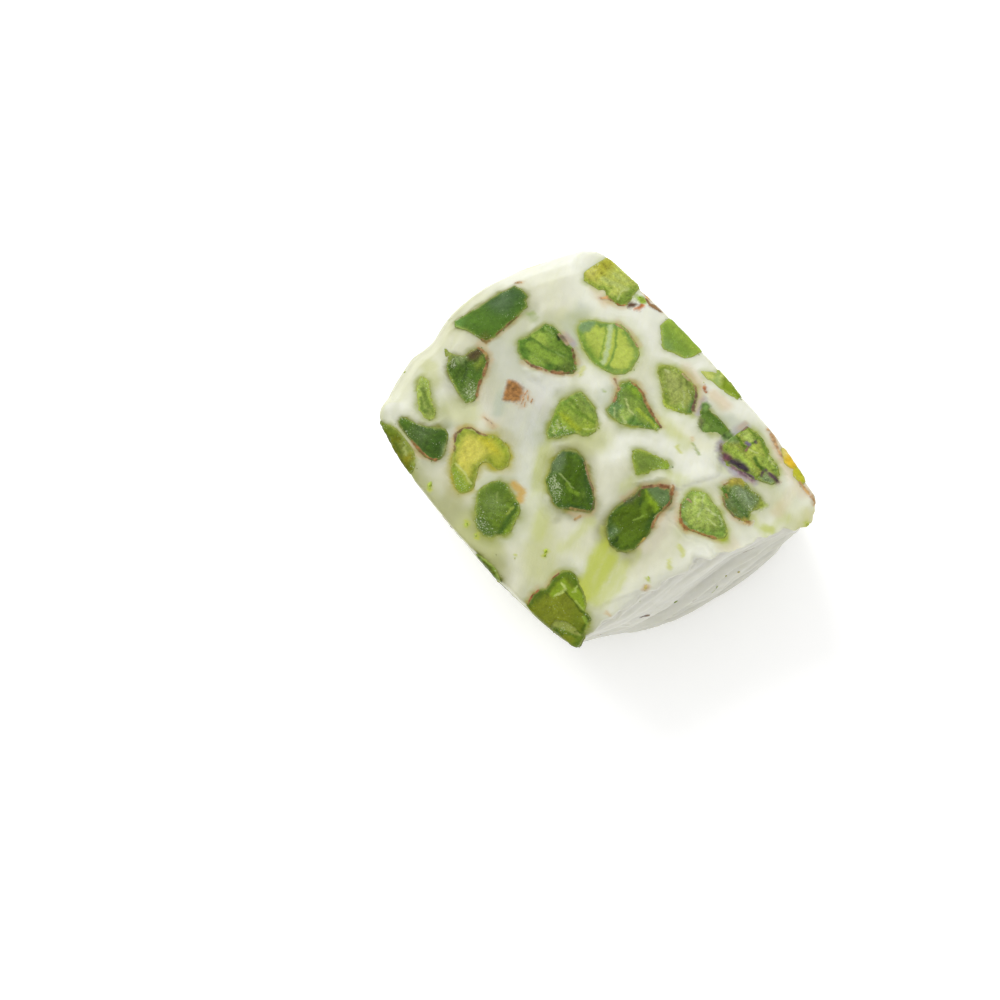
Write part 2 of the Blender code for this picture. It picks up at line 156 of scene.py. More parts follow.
def away(flat, points):
    """How far each flat place is from a line through the points, and on which side: left is above 0."""
    far = np.full(len(flat), 1e6)
    side = np.zeros(len(flat))
    for a, b in zip(points, points[1:] or points):
        a, b = np.array(a, float), np.array(b, float)
        along = b - a
        t = np.clip((flat - a) @ along / max(along @ along, 1e-9), 0, 1)
        gap = flat - a - t[:, None] * along
        d = np.hypot(gap[:, 0], gap[:, 1])
        nearer = d < far
        far[nearer] = d[nearer]
        side[nearer] = (along[0] * gap[:, 1] - along[1] * gap[:, 0])[nearer]
    return far, side


def tree(names):
    """A search tree over some CAD nodes, in millimetres, and which node each of its faces is from."""
    corners, faces, owners = [], [], []
    for index, name in enumerate(names):
        mesh = frame["nodes"][name].data
        first = len(corners)
        corners += [v.co / MM for v in mesh.vertices]
        faces += [[first + i for i in face.vertices] for face in mesh.polygons]
        owners += [index] * len(mesh.polygons)
    return BVHTree.FromPolygons(corners, faces), np.array(owners)


def nearest(search, places):
    """How far each place is from what a search tree holds, and the face that is nearest."""
    found = [search.find_nearest(p)[2:] for p in places.tolist()]
    return np.array([far for _, far in found]), np.array([face for face, _ in found])


block = cad_copy("nougat", "nougat_block")
fillers = [cad_copy(name, "filler") for name in KERNELS]
pick(block)
for filler in fillers:
    filler.select_set(True)
bpy.ops.object.join()
finish_with(block, "DISPLACE", strength=GAP * MM, mid_level=0)
finish_with(block, "REMESH", mode="VOXEL", voxel_size=BLOCK_GRAIN * MM, use_smooth_shade=True)
keep_shell(block)
finish_with(block, "DISPLACE", strength=-GAP * MM, mid_level=0)
finish_with(block, "SMOOTH", factor=0.5, iterations=8)

places = read(block)
ups = read(block, "no")
nut_tree, nut_owners = tree(KERNELS)
nougat_tree, _ = tree(["nougat"])
nut_far, nut_face = nearest(nut_tree, places)
rim = nut_far - nearest(nougat_tree, places)[0]
flat = places[:, :2] + 0.25 * np.stack([cloud(places, 1.1, 1, 2), cloud(places, 1.1, 2, 2)], 1)
on_top = smooth((places[:, 2] - TOP + 2.6) / 1.2) * smooth((ups[:, 2] - 0.2) / 0.4)
right_end = smooth((ups[:, 0] - 0.45) / 0.3)

BED_DEPTH = 0.35  # how far the nougat dips where it meets a nut


def swell(places):
    """How the cut faces swell and dip, in millimetres: the knife pulls nougat and nuts alike."""
    return 0.15 * cloud(places, 7, 3, 2) + 0.05 * cloud(places, 2.2, 4, 2)


KNIFE_WAY = math.radians(-54)
drawn = np.stack([places[:, 0] * math.cos(KNIFE_WAY) + places[:, 1] * math.sin(KNIFE_WAY),
                  places[:, 1] * math.cos(KNIFE_WAY) - places[:, 0] * math.sin(KNIFE_WAY), places[:, 2]], 1)
streaks = cloud(drawn * [0.12, 1, 0.3], 0.7, 5, 2)
knife = smooth((cloud(places, 6, 6, 2) + 0.25) / 0.5)
LEAN_COS, LEAN_SIN = 0.94, 0.34  # the creases lean by 20 degrees
pulled = np.stack([places[:, 0], places[:, 1] * LEAN_COS + places[:, 2] * LEAN_SIN,
                   places[:, 2] * LEAN_COS - places[:, 1] * LEAN_SIN], 1)
folds = -np.abs(cloud(pulled * [0.6, 0.16, 1], 4.6, 7, 2))
creases = -np.abs(cloud(pulled * [0.6, 0.11, 1], 1.9, 7, 2)) + 0.3 * cloud(pulled * [0.6, 0.1, 1], 0.9, 8, 2)
STREAK_DEPTH, FOLD_DEPTH, CREASE_DEPTH, LIP_DEPTH = 0.018, 1.1, 0.32, 0.7
pulls = FOLD_DEPTH * folds + CREASE_DEPTH * creases
lift = swell(places) + STREAK_DEPTH * streaks * knife + pulls * right_end
ragged_rim = 0.14 * cloud(places, 0.9, 9, 2) + 0.05 * cloud(places, 2.5, 11, 2)
lift -= BED_DEPTH * smooth((0.5 * ragged_rim - 0.45 - rim) / 0.9)

# Where the nougat has folded over itself: height and reach in mm, and the ridge's points
FOLDS = [
    (0.30, 2.2, (9.6, 10.7), (11.5, 9.3), (11.2, 8), (10.3, 6)),
    (0.26, 1.6, (12, 2), (14.2, 2.4), (16.3, 3.3), (18.4, 3.4)),
    (0.16, 1.4, (16.3, -4.4), (15.5, -6.4), (14.7, -9.2)),
    (0.18, 1.2, (-18.6, -3.6), (-16.8, -5.2), (-14.6, -6.9)),
]
for height, reach, *points in FOLDS:
    far, side = away(flat, points)
    lift += on_top * height * np.where(side < 0, smooth(far / 0.22), 0) * np.exp(-far / reach)
# Loose flakes on it: width and height in mm, and where each runs
FLAKES = [
    (0.9, 0.22, (-9.4, 0.9), (-8.2, 1.3), (-6.9, 1.6)), (0.5, 0.16, (-10.1, 0.3), (-8.8, 0.7)),
    (0.45, 0.14, (2.2, -6.4), (4.4, -6.9)), (0.35, 0.12, (1.2, -7.1), (3, -7.6), (4.3, -7.4)),
    (0.4, 0.12, (3.6, 2.1), (5.6, 1.9), (7.5, 2.6)),
]
lift += on_top * sum(h * smooth(1.3 - away(flat, points)[0] / w) for w, h, *points in FLAKES)
torn = 0.6 + 1.6 * np.clip(cloud(places * [1, 1, 0.3], 3.6, 10, 3), -0.2, 1)
lip = smooth((TOP - torn - places[:, 2]) / 0.4)
lift -= LIP_DEPTH * lip * right_end * smooth((places[:, 2] - 6) / 12)

places += ups * lift[:, None]
end_places = KDTree(int((right_end > 0.5).sum()))
for index, place in enumerate(places[right_end > 0.5].tolist()):
    end_places.insert(place, index)
end_places.balance()
from_end = np.array([end_places.find(place)[2] for place in places.tolist()])
high_up = smooth((places[:, 2] - TOP + 5) / 3)
most_torn = 0.35 + 0.75 * smooth((places[:, 1] + 2) / 5)
near_end = smooth(1.3 - from_end / 1.4)
places[:, 0] += most_torn * high_up * near_end * cloud(places * [0.3, 1, 0.35], 2.6, 17, 4)
HOLLOW_PLACE, HOLLOW_REACH, HOLLOW_DEPTH = -5.6, 2.4, 0.7  # a dip in the left side
hollow = np.exp(-((places[:, 1] - HOLLOW_PLACE) / HOLLOW_REACH) ** 2) * smooth((-places[:, 0] - 15) / 3)
places[:, 0] += HOLLOW_DEPTH * hollow * smooth(places[:, 2] / 8)
places[:, 2] = np.maximum(places[:, 2], FLOOR_GAP)
write(block, places)

# Nougat tones: the white one is partly whiter nougat and partly painted light and highlight; the blue-grey
# one is painted shade.
WHITE_AND_LIT, CREAM, GREYED = (239, 240, 226), (222, 222, 197), (202, 203, 178)
GREENISH, LIMED, SMEARED, TANNED = (203, 206, 150), (210, 214, 128), (192, 202, 58), (222, 200, 160)
BLUE_SHADE, MOSSY, PEARL = (188, 196, 176), (160, 178, 108), (214, 209, 197)
# Broad washes over the cut face: tone, reach in mm, strength, and where the stroke runs. The
# tinted ones are the nougat's own colour; the white ones are partly whiter nougat and partly
# painted light and highlight, the blue-grey ones are painted shade, and the olive one along the
# front edge is partly painted shadow.
WASHES = [
    ((178, 170, 128), 2.2, 0.8, (-8.6, -13.2), (-7.4, -14)),
    ((226, 210, 190), 2.2, 0.6, (13.4, 1), (13.8, -3.4)),
    ((206, 200, 120), 2, 0.6, (17.4, 14.6), (20.2, 13)),
    ((210, 208, 110), 1.2, 0.8, (3.4, 8), (5.6, 8.9), (8, 9.6)),
    (PEARL, 3, 0.9, (-11.6, 2.4), (-7, 1.2), (-6.2, -2)), (PEARL, 2, 0.6, (-8.4, -5.6), (-11, -5)),
    (WHITE_AND_LIT, 2.2, 0.8, (-7.2, 3.2), (-5.4, 1.2)), (WHITE_AND_LIT, 1.6, 0.6, (-3.4, 3), (-1.4, 2.6)),
    (WHITE_AND_LIT, 5, 0.9, (-17, 14), (-6, 14)), (WHITE_AND_LIT, 2.6, 0.9, (-11.4, 13.6), (-9.4, 15)),
    (WHITE_AND_LIT, 2.6, 0.8, (9.6, 15.6), (18.6, 14.4)), (WHITE_AND_LIT, 2.6, 0.8, (9, 14.9), (17.8, 14.4)),
    (WHITE_AND_LIT, 2.2, 0.8, (-15, 7.8), (-13.6, 5)), (WHITE_AND_LIT, 2, 0.7, (0.6, 9.4), (3.6, 8.8)),
    (CREAM, 2.2, 0.7, (-7.4, 5.6), (-5.2, 6.4)), (WHITE_AND_LIT, 2.2, 0.7, (1.4, 2.4), (3.4, 6.6)),
    (CREAM, 2.4, 0.7, (6, -6), (7.4, -5.2)), (WHITE_AND_LIT, 2.2, 0.7, (-11.2, -8.6), (-9.4, -6.8)),
    (WHITE_AND_LIT, 2.2, 0.6, (-8.6, -13.4), (-5.4, -14.6)), (WHITE_AND_LIT, 2.2, 0.8, (-14, 7.4), (-12.8, 4.4)),
    (WHITE_AND_LIT, 2, 0.8, (-19.4, 3.4), (-19.6, -0.6)), (WHITE_AND_LIT, 2.4, 0.8, (-4.6, 5.4), (-1.8, 4.4)),
    (WHITE_AND_LIT, 2.4, 0.8, (-3.2, -6.6), (-0.6, -7.6)), (WHITE_AND_LIT, 2.4, 0.7, (9.4, 8.2), (11.4, 9.6)),
    (WHITE_AND_LIT, 2.6, 0.7, (10.4, -9), (8.2, -10.4)), (WHITE_AND_LIT, 2.6, 0.7, (1.6, -8.4), (2.4, -11.4)),
    (WHITE_AND_LIT, 2.6, 0.7, (-15.2, -9.4), (-13, -8.2)), (WHITE_AND_LIT, 2.4, 0.8, (1, 14.2), (8.2, 14.6)),
    (WHITE_AND_LIT, 2, 0.8, (4.6, 9.8), (7.4, 10)), (WHITE_AND_LIT, 2.2, 0.7, (13.6, 14.6), (18.6, 13.6)),
    ((214, 218, 206), 2.6, 0.8, (-10.6, 6.6), (-9.4, 6)), (WHITE_AND_LIT, 2.2, 0.7, (2, 1.6), (6.6, 7)),
    (WHITE_AND_LIT, 2.4, 0.6, (-14.2, 2.4), (-14.6, 0.6)), (WHITE_AND_LIT, 2.4, 0.5, (-14, -8.4), (-16, -7)),
    (WHITE_AND_LIT, 2, 0.6, (6.8, 1.6), (9.4, 6.4)), (WHITE_AND_LIT, 2.4, 0.6, (2.6, -9.4), (3.6, -13)),
    (WHITE_AND_LIT, 2.4, 0.5, (-5.4, -14.6), (-7.4, -14.6)), (WHITE_AND_LIT, 4, 0.8, (-15, 10), (-10, 11)),
    (CREAM, 3.5, 0.9, (-16, 8), (-14, 7)), (WHITE_AND_LIT, 4, 0.6, (-18, -7), (-17, -12)),
    (WHITE_AND_LIT, 3, 0.9, (-16, -12.6), (-15.6, -14)), (GREYED, 4, 0.8, (-13, -1), (-6, -4), (-2, -6)),
    (WHITE_AND_LIT, 1.6, 0.6, (-9.6, 0.6), (-6.4, 0.9)), (WHITE_AND_LIT, 2.4, 0.7, (-5.6, 5.2), (-2.6, 4.9)),
    (WHITE_AND_LIT, 2.6, 0.7, (-2.6, 12.6), (0.4, 14.2)), (WHITE_AND_LIT, 3, 0.9, (4.6, 6.4), (9.6, 7.4), (10.4, 9.6)),
    (WHITE_AND_LIT, 2, 0.6, (2, 2.6), (3.4, 4.6)), (WHITE_AND_LIT, 2.4, 0.6, (0.6, 15.2), (8.4, 14.6)),
    (WHITE_AND_LIT, 2.6, 0.8, (12.6, 2), (16.6, 3.2), (18.2, 4.6)), (CREAM, 4, 0.9, (14, 0.4), (14.6, -4)),
    (WHITE_AND_LIT, 3, 0.6, (17.4, 2), (16.8, -6), (16.8, -9)), (WHITE_AND_LIT, 2.4, 0.6, (18.4, 7), (19.6, 11)),
    # The olive wash along the front edge is partly the nougat's tint and partly painted shadow.
    ((176, 178, 126), 3, 0.9, (-8, -15.4), (4, -15.2)), (CREAM, 3, 0.6, (5, -12), (8, -11)),
    (GREYED, 2.4, 0.6, (6.4, 0.4), (6.8, 2.4)), (GREENISH, 1.6, 0.5, (-12.2, 6.8), (-11.4, 6.2)),
    (GREENISH, 1.4, 0.5, (-14.4, 3), (-14.2, 1)), (GREENISH, 1.6, 0.7, (-17.6, -7.6), (-15.6, -8.2)),
    (GREENISH, 2.4, 0.7, (-12, -8.6), (-10.4, -7.4)), (GREENISH, 2.6, 0.8, (0.4, 1.4), (-0.6, -0.4)),
    (GREENISH, 3, 0.8, (2.6, -8), (5.4, -10.4), (7.6, -11.6)),
    (GREENISH, 2, 0.8, (-1, -15), (2.6, -14.4)), (GREENISH, 2.4, 0.6, (18, 13), (20.5, 12)),
    (TANNED, 1.2, 0.35, (17.2, 4.8), (17.6, 5.6)), (TANNED, 1, 0.4, (17.6, 13.8), (18.4, 11.4)),
    (TANNED, 1.3, 0.6, (12.6, 15.6), (15.6, 15.2), (18.4, 14.9)),
    (TANNED, 1, 0.5, (0.4, 13.4), (2.4, 13.5)), (TANNED, 0.9, 0.6, (4.4, 13.9), (6.2, 14.2)),
    (TANNED, 0.8, 0.7, (-3.6, 7), (-2.6, 6.5)), (TANNED, 0.7, 0.5, (-9, -6.3), (-7.6, -6.1)),
    (TANNED, 1, 0.5, (-12.6, 11.4), (-10.6, 11.4)),
    # Blue-grey washes: painted shade.
    (BLUE_SHADE, 1.8, 0.5, (-11.4, 8.6), (-11.2, 7.2), (-9.6, 6.2)),
    (BLUE_SHADE, 1.6, 0.4, (-3.4, -3.2), (-4.8, -2.4)), (BLUE_SHADE, 0.9, 0.8, (-9.8, -3.3), (-8.6, -4.8)),
    (BLUE_SHADE, 1.4, 0.5, (-2.6, 4.6), (-2.9, 5.6)), (BLUE_SHADE, 1.2, 0.6, (-10.6, -10), (-10, -9.8)),
    (BLUE_SHADE, 1.2, 0.6, (7.4, 13.2), (8.6, 13.9)), (MOSSY, 0.7, 0.5, (-14.6, 4.4), (-14, 4.2)),
    (CREAM, 2.6, 0.6, (-6, -9.6), (-6.2, -13.6)), (WHITE_AND_LIT, 2.4, 0.5, (-12.6, -11.6), (-8.8, -13.6)),
    (CREAM, 2.2, 0.5, (2, -9.4), (3, -11.4)), (CREAM, 2, 0.5, (-2.2, -5.6), (2.4, -5)),
    (WHITE_AND_LIT, 2, 0.4, (1.2, 6.8), (3, 5.4)), (WHITE_AND_LIT, 2, 0.5, (13.6, 9.8), (15.6, 10.4)),
    (WHITE_AND_LIT, 2, 0.4, (9.4, 14.6), (12, 14.4)), ((216, 219, 212), 4, 0.45, (-13, 0), (-6, 0), (-5, -3)),
    (WHITE_AND_LIT, 2.4, 0.4, (1, 6.4), (3.4, 5.6)), ((224, 228, 215), 2.6, 0.45, (-3, -6.4), (3, -6)),
    ((226, 229, 212), 2.4, 0.45, (1.6, -9), (3, -11)),
    ((224, 228, 212), 2, 0.45, (-4.4, -9.4), (-5.4, -11)), (WHITE_AND_LIT, 2, 0.4, (16.6, 14), (19, 13.4)),
]
# Green that the knife has dragged off the nuts: reach in mm, strength, and where it runs
SMEARS = [
    (1.7, 0.50, (-2, -3.4), (-0.6, -5.2), (0.6, -6.4)), (1.2, 0.43, (6.9, -4.6), (7.3, -8.6)),
    (1.8, 0.37, (3.4, -8.2), (4.4, -9.4)), (1.4, 0.43, (3, 7.9), (6.8, 8.3)),
    (1.3, 0.43, (8.4, 5), (9.4, 5.6)), (1.3, 0.37, (6.4, 1.6), (6.2, 0.4)),
    (1.5, 1, (9.9, -5.2), (10.9, -7), (12, -9.4)), (1.6, 0.95, (11.4, -5.2), (12.2, -7.2), (12.9, -9.4)),
    (1.4, 0.6, (12.8, -4.6), (13.5, -6.8), (14.1, -9.2)), (0.8, 0.5, (13.8, -5.6), (14.6, -8.4)),
    (0.9, 0.3, (12.5, -2.6), (13.3, -4.6)), (0.5, 0.5, (8.1, -3.9), (8.9, -4.6)),
    (0.8, 0.80, (18.6, 9.3), (19.3, 9.7)), (1, 0.43, (17.4, 8.8), (19.2, 8.9)),
    (1.1, 0.37, (19.3, 10.2), (19.4, 11.6)),
]
# What shows of a kernel through the nougat, by its material slot
GLOWS = {
    "pistachio_dark": (116, 118, 14), "pistachio_mid": (134, 142, 26), "pistachio_bright": (152, 162, 44),
    "pistachio_yellow": (162, 154, 40),
}
# How strongly a kernel's green shows through the nougat round it, where it isn't the common share
COMMON_HALO = 0.8
HALOS = {
    "top_01": 0.2, "top_05": 0.7, "top_06": 0.3, "top_08": 1.1, "top_09": 1.1,
    "top_10": 1.1, "top_11": 1, "top_12": 1, "top_14": 0.4, "top_16": 0.4, "top_17": 1.4, "top_18": 1.3,
    "top_20": 0.6, "top_24": 0, "top_25": 0,
}
SLOTS = {part["node"]: part["material_slot"] for part in frame["record"]["subparts"]}
# Small smears and crumbs pressed in by the knife: tone, width in mm, and where each runs
DABS = [
    ((206, 166, 62), 0.55, (-1.3, -8.3), (-0.2, -8.2), (0.5, -8.8)),
    ((214, 209, 184), 0.8, (11.9, 2.4), (11.6, 1.2)), ((214, 210, 186), 0.9, (12.3, 1.6), (12.9, -1.6)),
    ((206, 208, 184), 0.7, (-14.3, 3), (-14.3, 1)), ((205, 208, 186), 0.7, (-9.9, -9.9), (-10.1, -11.2)),
    ((204, 207, 178), 0.6, (-3.4, -9.6), (-3.6, -11.4)),
    ((168, 160, 170), 0.55, (10.2, 10.4), (11.6, 10.5), (13, 11), (14.4, 11.5)),
    ((184, 178, 184), 0.6, (12, 10.4), (13.4, 10.9)),
    ((172, 164, 170), 0.5, (8.9, 11.4), (9, 10.9), (9.4, 10.5)),
    ((184, 181, 180), 0.8, (9.2, 14.2), (9.1, 13.4)), ((176, 170, 172), 0.6, (4.2, 12.6), (5, 11.6)),
    ((178, 170, 172), 0.5, (-10.4, 5.8), (-9.2, 5.8)), (SMEARED, 0.45, (-6.8, -15.3), (-6.6, -15.6)),
    (SMEARED, 0.32, (6.4, -10), (6.7, -10.5)), (SMEARED, 0.25, (16.5, -10.8), (16.8, -10.5)),
    (SMEARED, 0.2, (15.3, -3.4), (15.5, -3.5)), (TANNED, 0.4, (15.9, -4.2), (16.1, -4.6)),
    (LIMED, 0.35, (15.3, -0.5), (16, -1)), (LIMED, 0.35, (14.8, 1.1), (15.8, 0.8)),
    (LIMED, 0.3, (6.4, 7.6), (7, 7.4)), (MOSSY, 0.22, (7.2, 9), (8.4, 8.8)),
    (SMEARED, 0.4, (-1.3, -14.7), (-1, -14.9)), (SMEARED, 0.4, (0.4, -14.7), (0.7, -14.9)),
    (SMEARED, 0.16, (4.9, -13), (5.1, -13.1)), (SMEARED, 0.45, (21, 12.8), (21.5, 12.9)),
    (TANNED, 0.3, (6.6, 9.4), (6.8, 9.2)), (TANNED, 0.3, (15.4, -9.3), (15.8, -9.1)),
    (MOSSY, 0.3, (-14.9, 4.2), (-14.6, 4.6)), (MOSSY, 0.2, (-3.2, 5.3), (-3, 5.2)),
    (LIMED, 0.3, (-6.4, 5), (-6.1, 4.5)),
]

# Scraps of skin and slivers: tone, half width in mm, and the points that each runs through
STRIPS = [
    ((128, 84, 52), 0.17, (-15.7, -2), (-15, -1.65), (-14.2, -1.65), (-13.3, -2.1)),
    ((138, 88, 56), 0.13, (-13.3, -2.2), (-12.4, -3.5), (-12, -4.6), (-11.2, -5.6)),
    ((190, 140, 84), 0.14, (-18.6, 5.3), (-18.2, 5.75)),
    ((112, 84, 40), 0.07, (-15.3, 3.2), (-15.15, 1.6), (-15.1, 0.2)),
    ((96, 84, 34), 0.12, (-15.1, -0.4), (-15.15, -1.2), (-15.8, -1.55)),
    ((122, 82, 56), 0.12, (-11.2, 0.55), (-10.2, 0.9), (-9.2, 1.5)),
    ((134, 82, 56), 0.19, (-9.2, 1.5), (-8.2, 2.2), (-7.4, 2.9)),
    ((122, 84, 58), 0.12, (-7.4, 2.9), (-6.8, 3.6), (-6.55, 4.2)),
    ((130, 96, 60), 0.13, (-8.7, 5.6), (-7.9, 5.25), (-7.3, 4.95)),
    ((150, 134, 116), 0.2, (-10.8, 5.75), (-9.6, 5.75)),
    ((188, 150, 112), 0.07, (-8.2, 10.95), (-6.6, 11.4), (-4.6, 11.3)),
    ((206, 150, 104), 0.14, (-11.4, 11.05), (-10.9, 11.4), (-10.4, 11.75)),
    ((176, 108, 58), 0.1, (-10.2, 11.8), (-9.2, 12.1), (-8.7, 12.7)),
    ((150, 108, 70), 0.12, (-8.2, 14.9), (-7.4, 14.8), (-6.6, 15.1), (-6, 15.3)),
    ((148, 98, 54), 0.11, (-2.2, 8.3), (-1.6, 8.6), (-0.4, 8.55)),
    ((140, 92, 50), 0.14, (-0.4, 8.5), (0.5, 8.1), (1.6, 7.85), (2.6, 7.75)),
    ((160, 118, 76), 0.08, (2.6, 7.75), (3.9, 7.65)),
    ((150, 104, 74), 0.15, (-2.6, 6.5), (-2, 5.9), (-1.7, 5.4)),
    ((190, 156, 118), 0.12, (-3.5, 6.9), (-2.8, 6.5)),
    ((104, 72, 66), 0.17, (2.5, 13.15), (3.2, 13.2), (3.7, 12.8), (4.2, 12.2), (4.6, 11.5)),
    ((168, 92, 62), 0.17, (3.2, 13.65), (3.7, 13.5)), ((188, 168, 126), 0.12, (0.6, 13.15), (2.2, 13.25)),
    ((132, 76, 42), 0.2, (8.3, 3.9), (8.7, 4.3), (9.4, 4.5), (10.2, 4.3)),
    ((134, 82, 48), 0.15, (10.2, 4.3), (10.7, 3.7), (10.9, 2.8), (11, 1.9)),
    ((160, 108, 64), 0.12, (11, 1.9), (11.3, 1.1), (11.7, 0.4)),
    ((124, 84, 56), 0.13, (7.3, 2.2), (7.7, 2.9), (8.3, 3.8)),
    ((126, 100, 74), 0.11, (7.15, 1.5), (7.2, 0.6), (7.1, -0.4)),
    ((190, 170, 60), 0.1, (11.9, -1.2), (12.15, -2.2)),
    ((150, 106, 56), 0.1, (11.3, 3.8), (12, 3.1), (12.5, 2.65)),
    ((152, 92, 42), 0.17, (12.4, 2.65), (13.1, 2.45), (13.8, 2.75)),
    ((160, 114, 60), 0.11, (13.8, 2.8), (14.7, 3.3), (15.8, 3.9), (16.7, 4.5)),
    ((206, 176, 140), 0.1, (11.4, 4.9), (12, 5)), ((150, 112, 50), 0.13, (13.6, 8.3), (13.9, 8.25)),
    ((160, 118, 60), 0.1, (16.1, 7.4), (16.9, 7.75), (17.5, 8.3)),
    ((104, 96, 66), 0.09, (13.4, 7.75), (14.4, 7.4), (16, 7.35)),
    ((150, 130, 60), 0.09, (12.5, 8.9), (12.6, 9.6), (13, 10.5)),
    ((138, 66, 36), 0.08, (8.9, -10.4), (9, -11.4), (9.4, -12.4)),
    ((156, 52, 32), 0.1, (8.95, -13.2), (8.95, -14.2), (9.5, -15)),
    ((116, 86, 50), 0.14, (-9.1, -8), (-9.7, -8.7), (-9.8, -9.6)),
    ((108, 80, 66), 0.16, (-9.6, -9.9), (-9, -10.5), (-8.4, -11.2)),
    ((112, 90, 56), 0.1, (-8.9, -7.9), (-8, -7.6), (-7.4, -7.1)),
    ((150, 98, 52), 0.12, (-11.8, -14.1), (-10.2, -14.1), (-9, -13.7), (-8.4, -13.2)),
    ((128, 116, 60), 0.1, (6.4, -4), (5.7, -4.9), (4.8, -5.6)),
    ((188, 156, 104), 0.1, (5.8, -5), (5.7, -5.6)),
    ((150, 124, 96), 0.08, (1.6, -0.95), (3, -1.6), (4.4, -2.1)),
    ((96, 76, 60), 0.07, (4.4, -2.1), (5.6, -2.8), (6.3, -3.6)),
    ((212, 168, 128), 0.22, (11, 16), (12, 15.9), (12.8, 15.6)),
    ((206, 160, 120), 0.12, (12.8, 15.6), (14.4, 15.2)),
    ((212, 146, 70), 0.2, (19.4, 15.1), (20.4, 14.9)), ((214, 168, 110), 0.12, (17.4, 15), (19, 15)),
    ((92, 68, 80), 0.11, (14.2, 13.1), (15.1, 13.25), (16.1, 13.45)),
    ((110, 88, 96), 0.09, (13, 11.1), (14.3, 11.3)), ((120, 96, 90), 0.1, (9, 13.8), (9, 14.6)),
    ((134, 96, 84), 0.09, (11.1, 13.3), (11.3, 12.8)),
    ((222, 150, 96), 0.08, (-8.3, -1.05), (-8.1, -1.9)),
    ((224, 158, 104), 0.07, (-7.9, -1.3), (-7.5, -1.6)),
    ((222, 152, 96), 0.09, (-7.9, -1.9), (-7.6, -2.5)), ((226, 166, 116), 0.06, (-7.5, -2), (-7.2, -2.3)),
    ((222, 156, 102), 0.08, (-8.2, -2.6), (-8, -2.9)),
    ((222, 160, 108), 0.06, (-7.3, -1.1), (-7.1, -1.5)),
    ((230, 204, 168), 0.07, (-9, -6.35), (-8.2, -6.15), (-7.6, -6.15)),
    ((170, 190, 60), 0.13, (6.4, -10.05), (6.75, -10.4)),
    ((178, 196, 80), 0.11, (16.5, -10.8), (16.8, -10.5)),
    ((164, 186, 72), 0.16, (-6.9, -15.2), (-6.6, -15.6)), ((176, 184, 120), 0.06, (7.4, 9), (8.4, 8.75)),
    ((160, 182, 70), 0.1, (-1.2, -14.8), (-1, -14.85)),
    ((168, 186, 80), 0.1, (0.4, -14.75), (0.7, -14.9)),
    ((176, 184, 90), 0.05, (4.95, -13.05), (5.1, -13.1)),
    ((168, 180, 90), 0.07, (15.3, -3.4), (15.5, -3.45)),
    ((214, 200, 120), 0.14, (15.9, -4.2), (16.1, -4.5)), ((150, 172, 90), 0.06, (-6.3, 4.7), (-6, 4.2)),
    ((186, 196, 100), 0.12, (21.1, 12.9), (21.5, 13)), ((150, 168, 120), 0.07, (7.7, 5.9), (7.9, 5.6)),
]


def colour(red, green, blue, share=0.74):
    """A colour for a shader, from its 0 to 255 values under the studio's bright light."""
    return tuple(share * ((c / 255 + 0.055) / 1.055) ** 2.4 for c in (red, green, blue)) + (1,)


def rgb(tone):
    """A tone as three numbers that can be mixed."""
    return np.array(colour(*tone)[:3])


def mixed(under, over, share):
    """One tone over another, point by point."""
    return under + (np.asarray(over) - under) * np.asarray(share)[:, None]


painted = {}


def paint(piece, tones):
    """Keeps a tone a point on a piece, for its material to read."""
    values = np.concatenate([np.clip(tones, 0.003, 1), np.ones((len(tones), 1))], 1).astype(np.float32)
    piece.data.color_attributes.new("tone", "FLOAT_COLOR", "POINT").data.foreach_set("color", values.ravel())
    painted[piece.name] = values[:, :3]


tones = np.tile(rgb(CREAM), (len(places), 1))
tones = mixed(tones, rgb(GREENISH), 0.5 * smooth(cloud(places, 7.5, 12, 2) / 0.7))
tones = mixed(tones, rgb(WHITE_AND_LIT), 0.6 * smooth(cloud(places, 7.0, 13, 2) / 0.7))
# The sides that face left, towards the lamp, are painted greyer: painted shade.
tones = mixed(tones, rgb((212, 213, 190)), (1 - on_top) * smooth((-ups[:, 0] - 0.1) / 0.5))
for tone, reach, strength, *points in WASHES:
    tones = mixed(tones, rgb(tone), on_top * strength * smooth(1.25 * (1 - away(flat, points)[0] / reach)))
# The right end is painted darker in the hollows of its folds and creases: painted shade.
tones = mixed(tones, rgb((233, 232, 219)) * (1 + 0.22 * folds + 0.12 * creases)[:, None], right_end)
# The left side's front part is painted darker and yellower, as painted shade, and its back part whiter, as
# painted light.
left_front_shaded = smooth((-ups[:, 0] - 0.06) / 0.5) * (1 - smooth((places[:, 1] - 1) / 5))
left_back_lit = smooth((-ups[:, 0] - 0.06) / 0.5) * smooth((places[:, 1] - 1) / 5)
tones *= 1 - np.outer(left_front_shaded, [0.12, 0.12, 0.22])
tones = mixed(tones, rgb(WHITE_AND_LIT), 0.75 * left_back_lit)
glow_tones = np.array([rgb(GLOWS[SLOTS[node]]) for node in KERNELS])[nut_owners[nut_face]]
halo = np.array([HALOS.get(node[10:], COMMON_HALO) for node in KERNELS])[nut_owners[nut_face]]
FAR_GLOW, FAR_REACH, NEAR_GLOW, NEAR_REACH = 0.46, 2.0, 0.9, 0.62
far_glow = FAR_GLOW * smooth((FAR_REACH - rim + 0.5 * cloud(places, 1.6, 14, 2)) / 2.2)
far_glow *= 0.9 + 0.8 * cloud(places, 3.0, 15, 2)
near_glow = NEAR_GLOW * smooth((NEAR_REACH - rim + 0.3 * cloud(places, 1.1, 19, 2)) / 0.7)
near_glow *= 1 + 0.5 * cloud(places, 2.0, 20, 2)
tones = mixed(tones, glow_tones, np.clip(far_glow * halo, 0, 1))
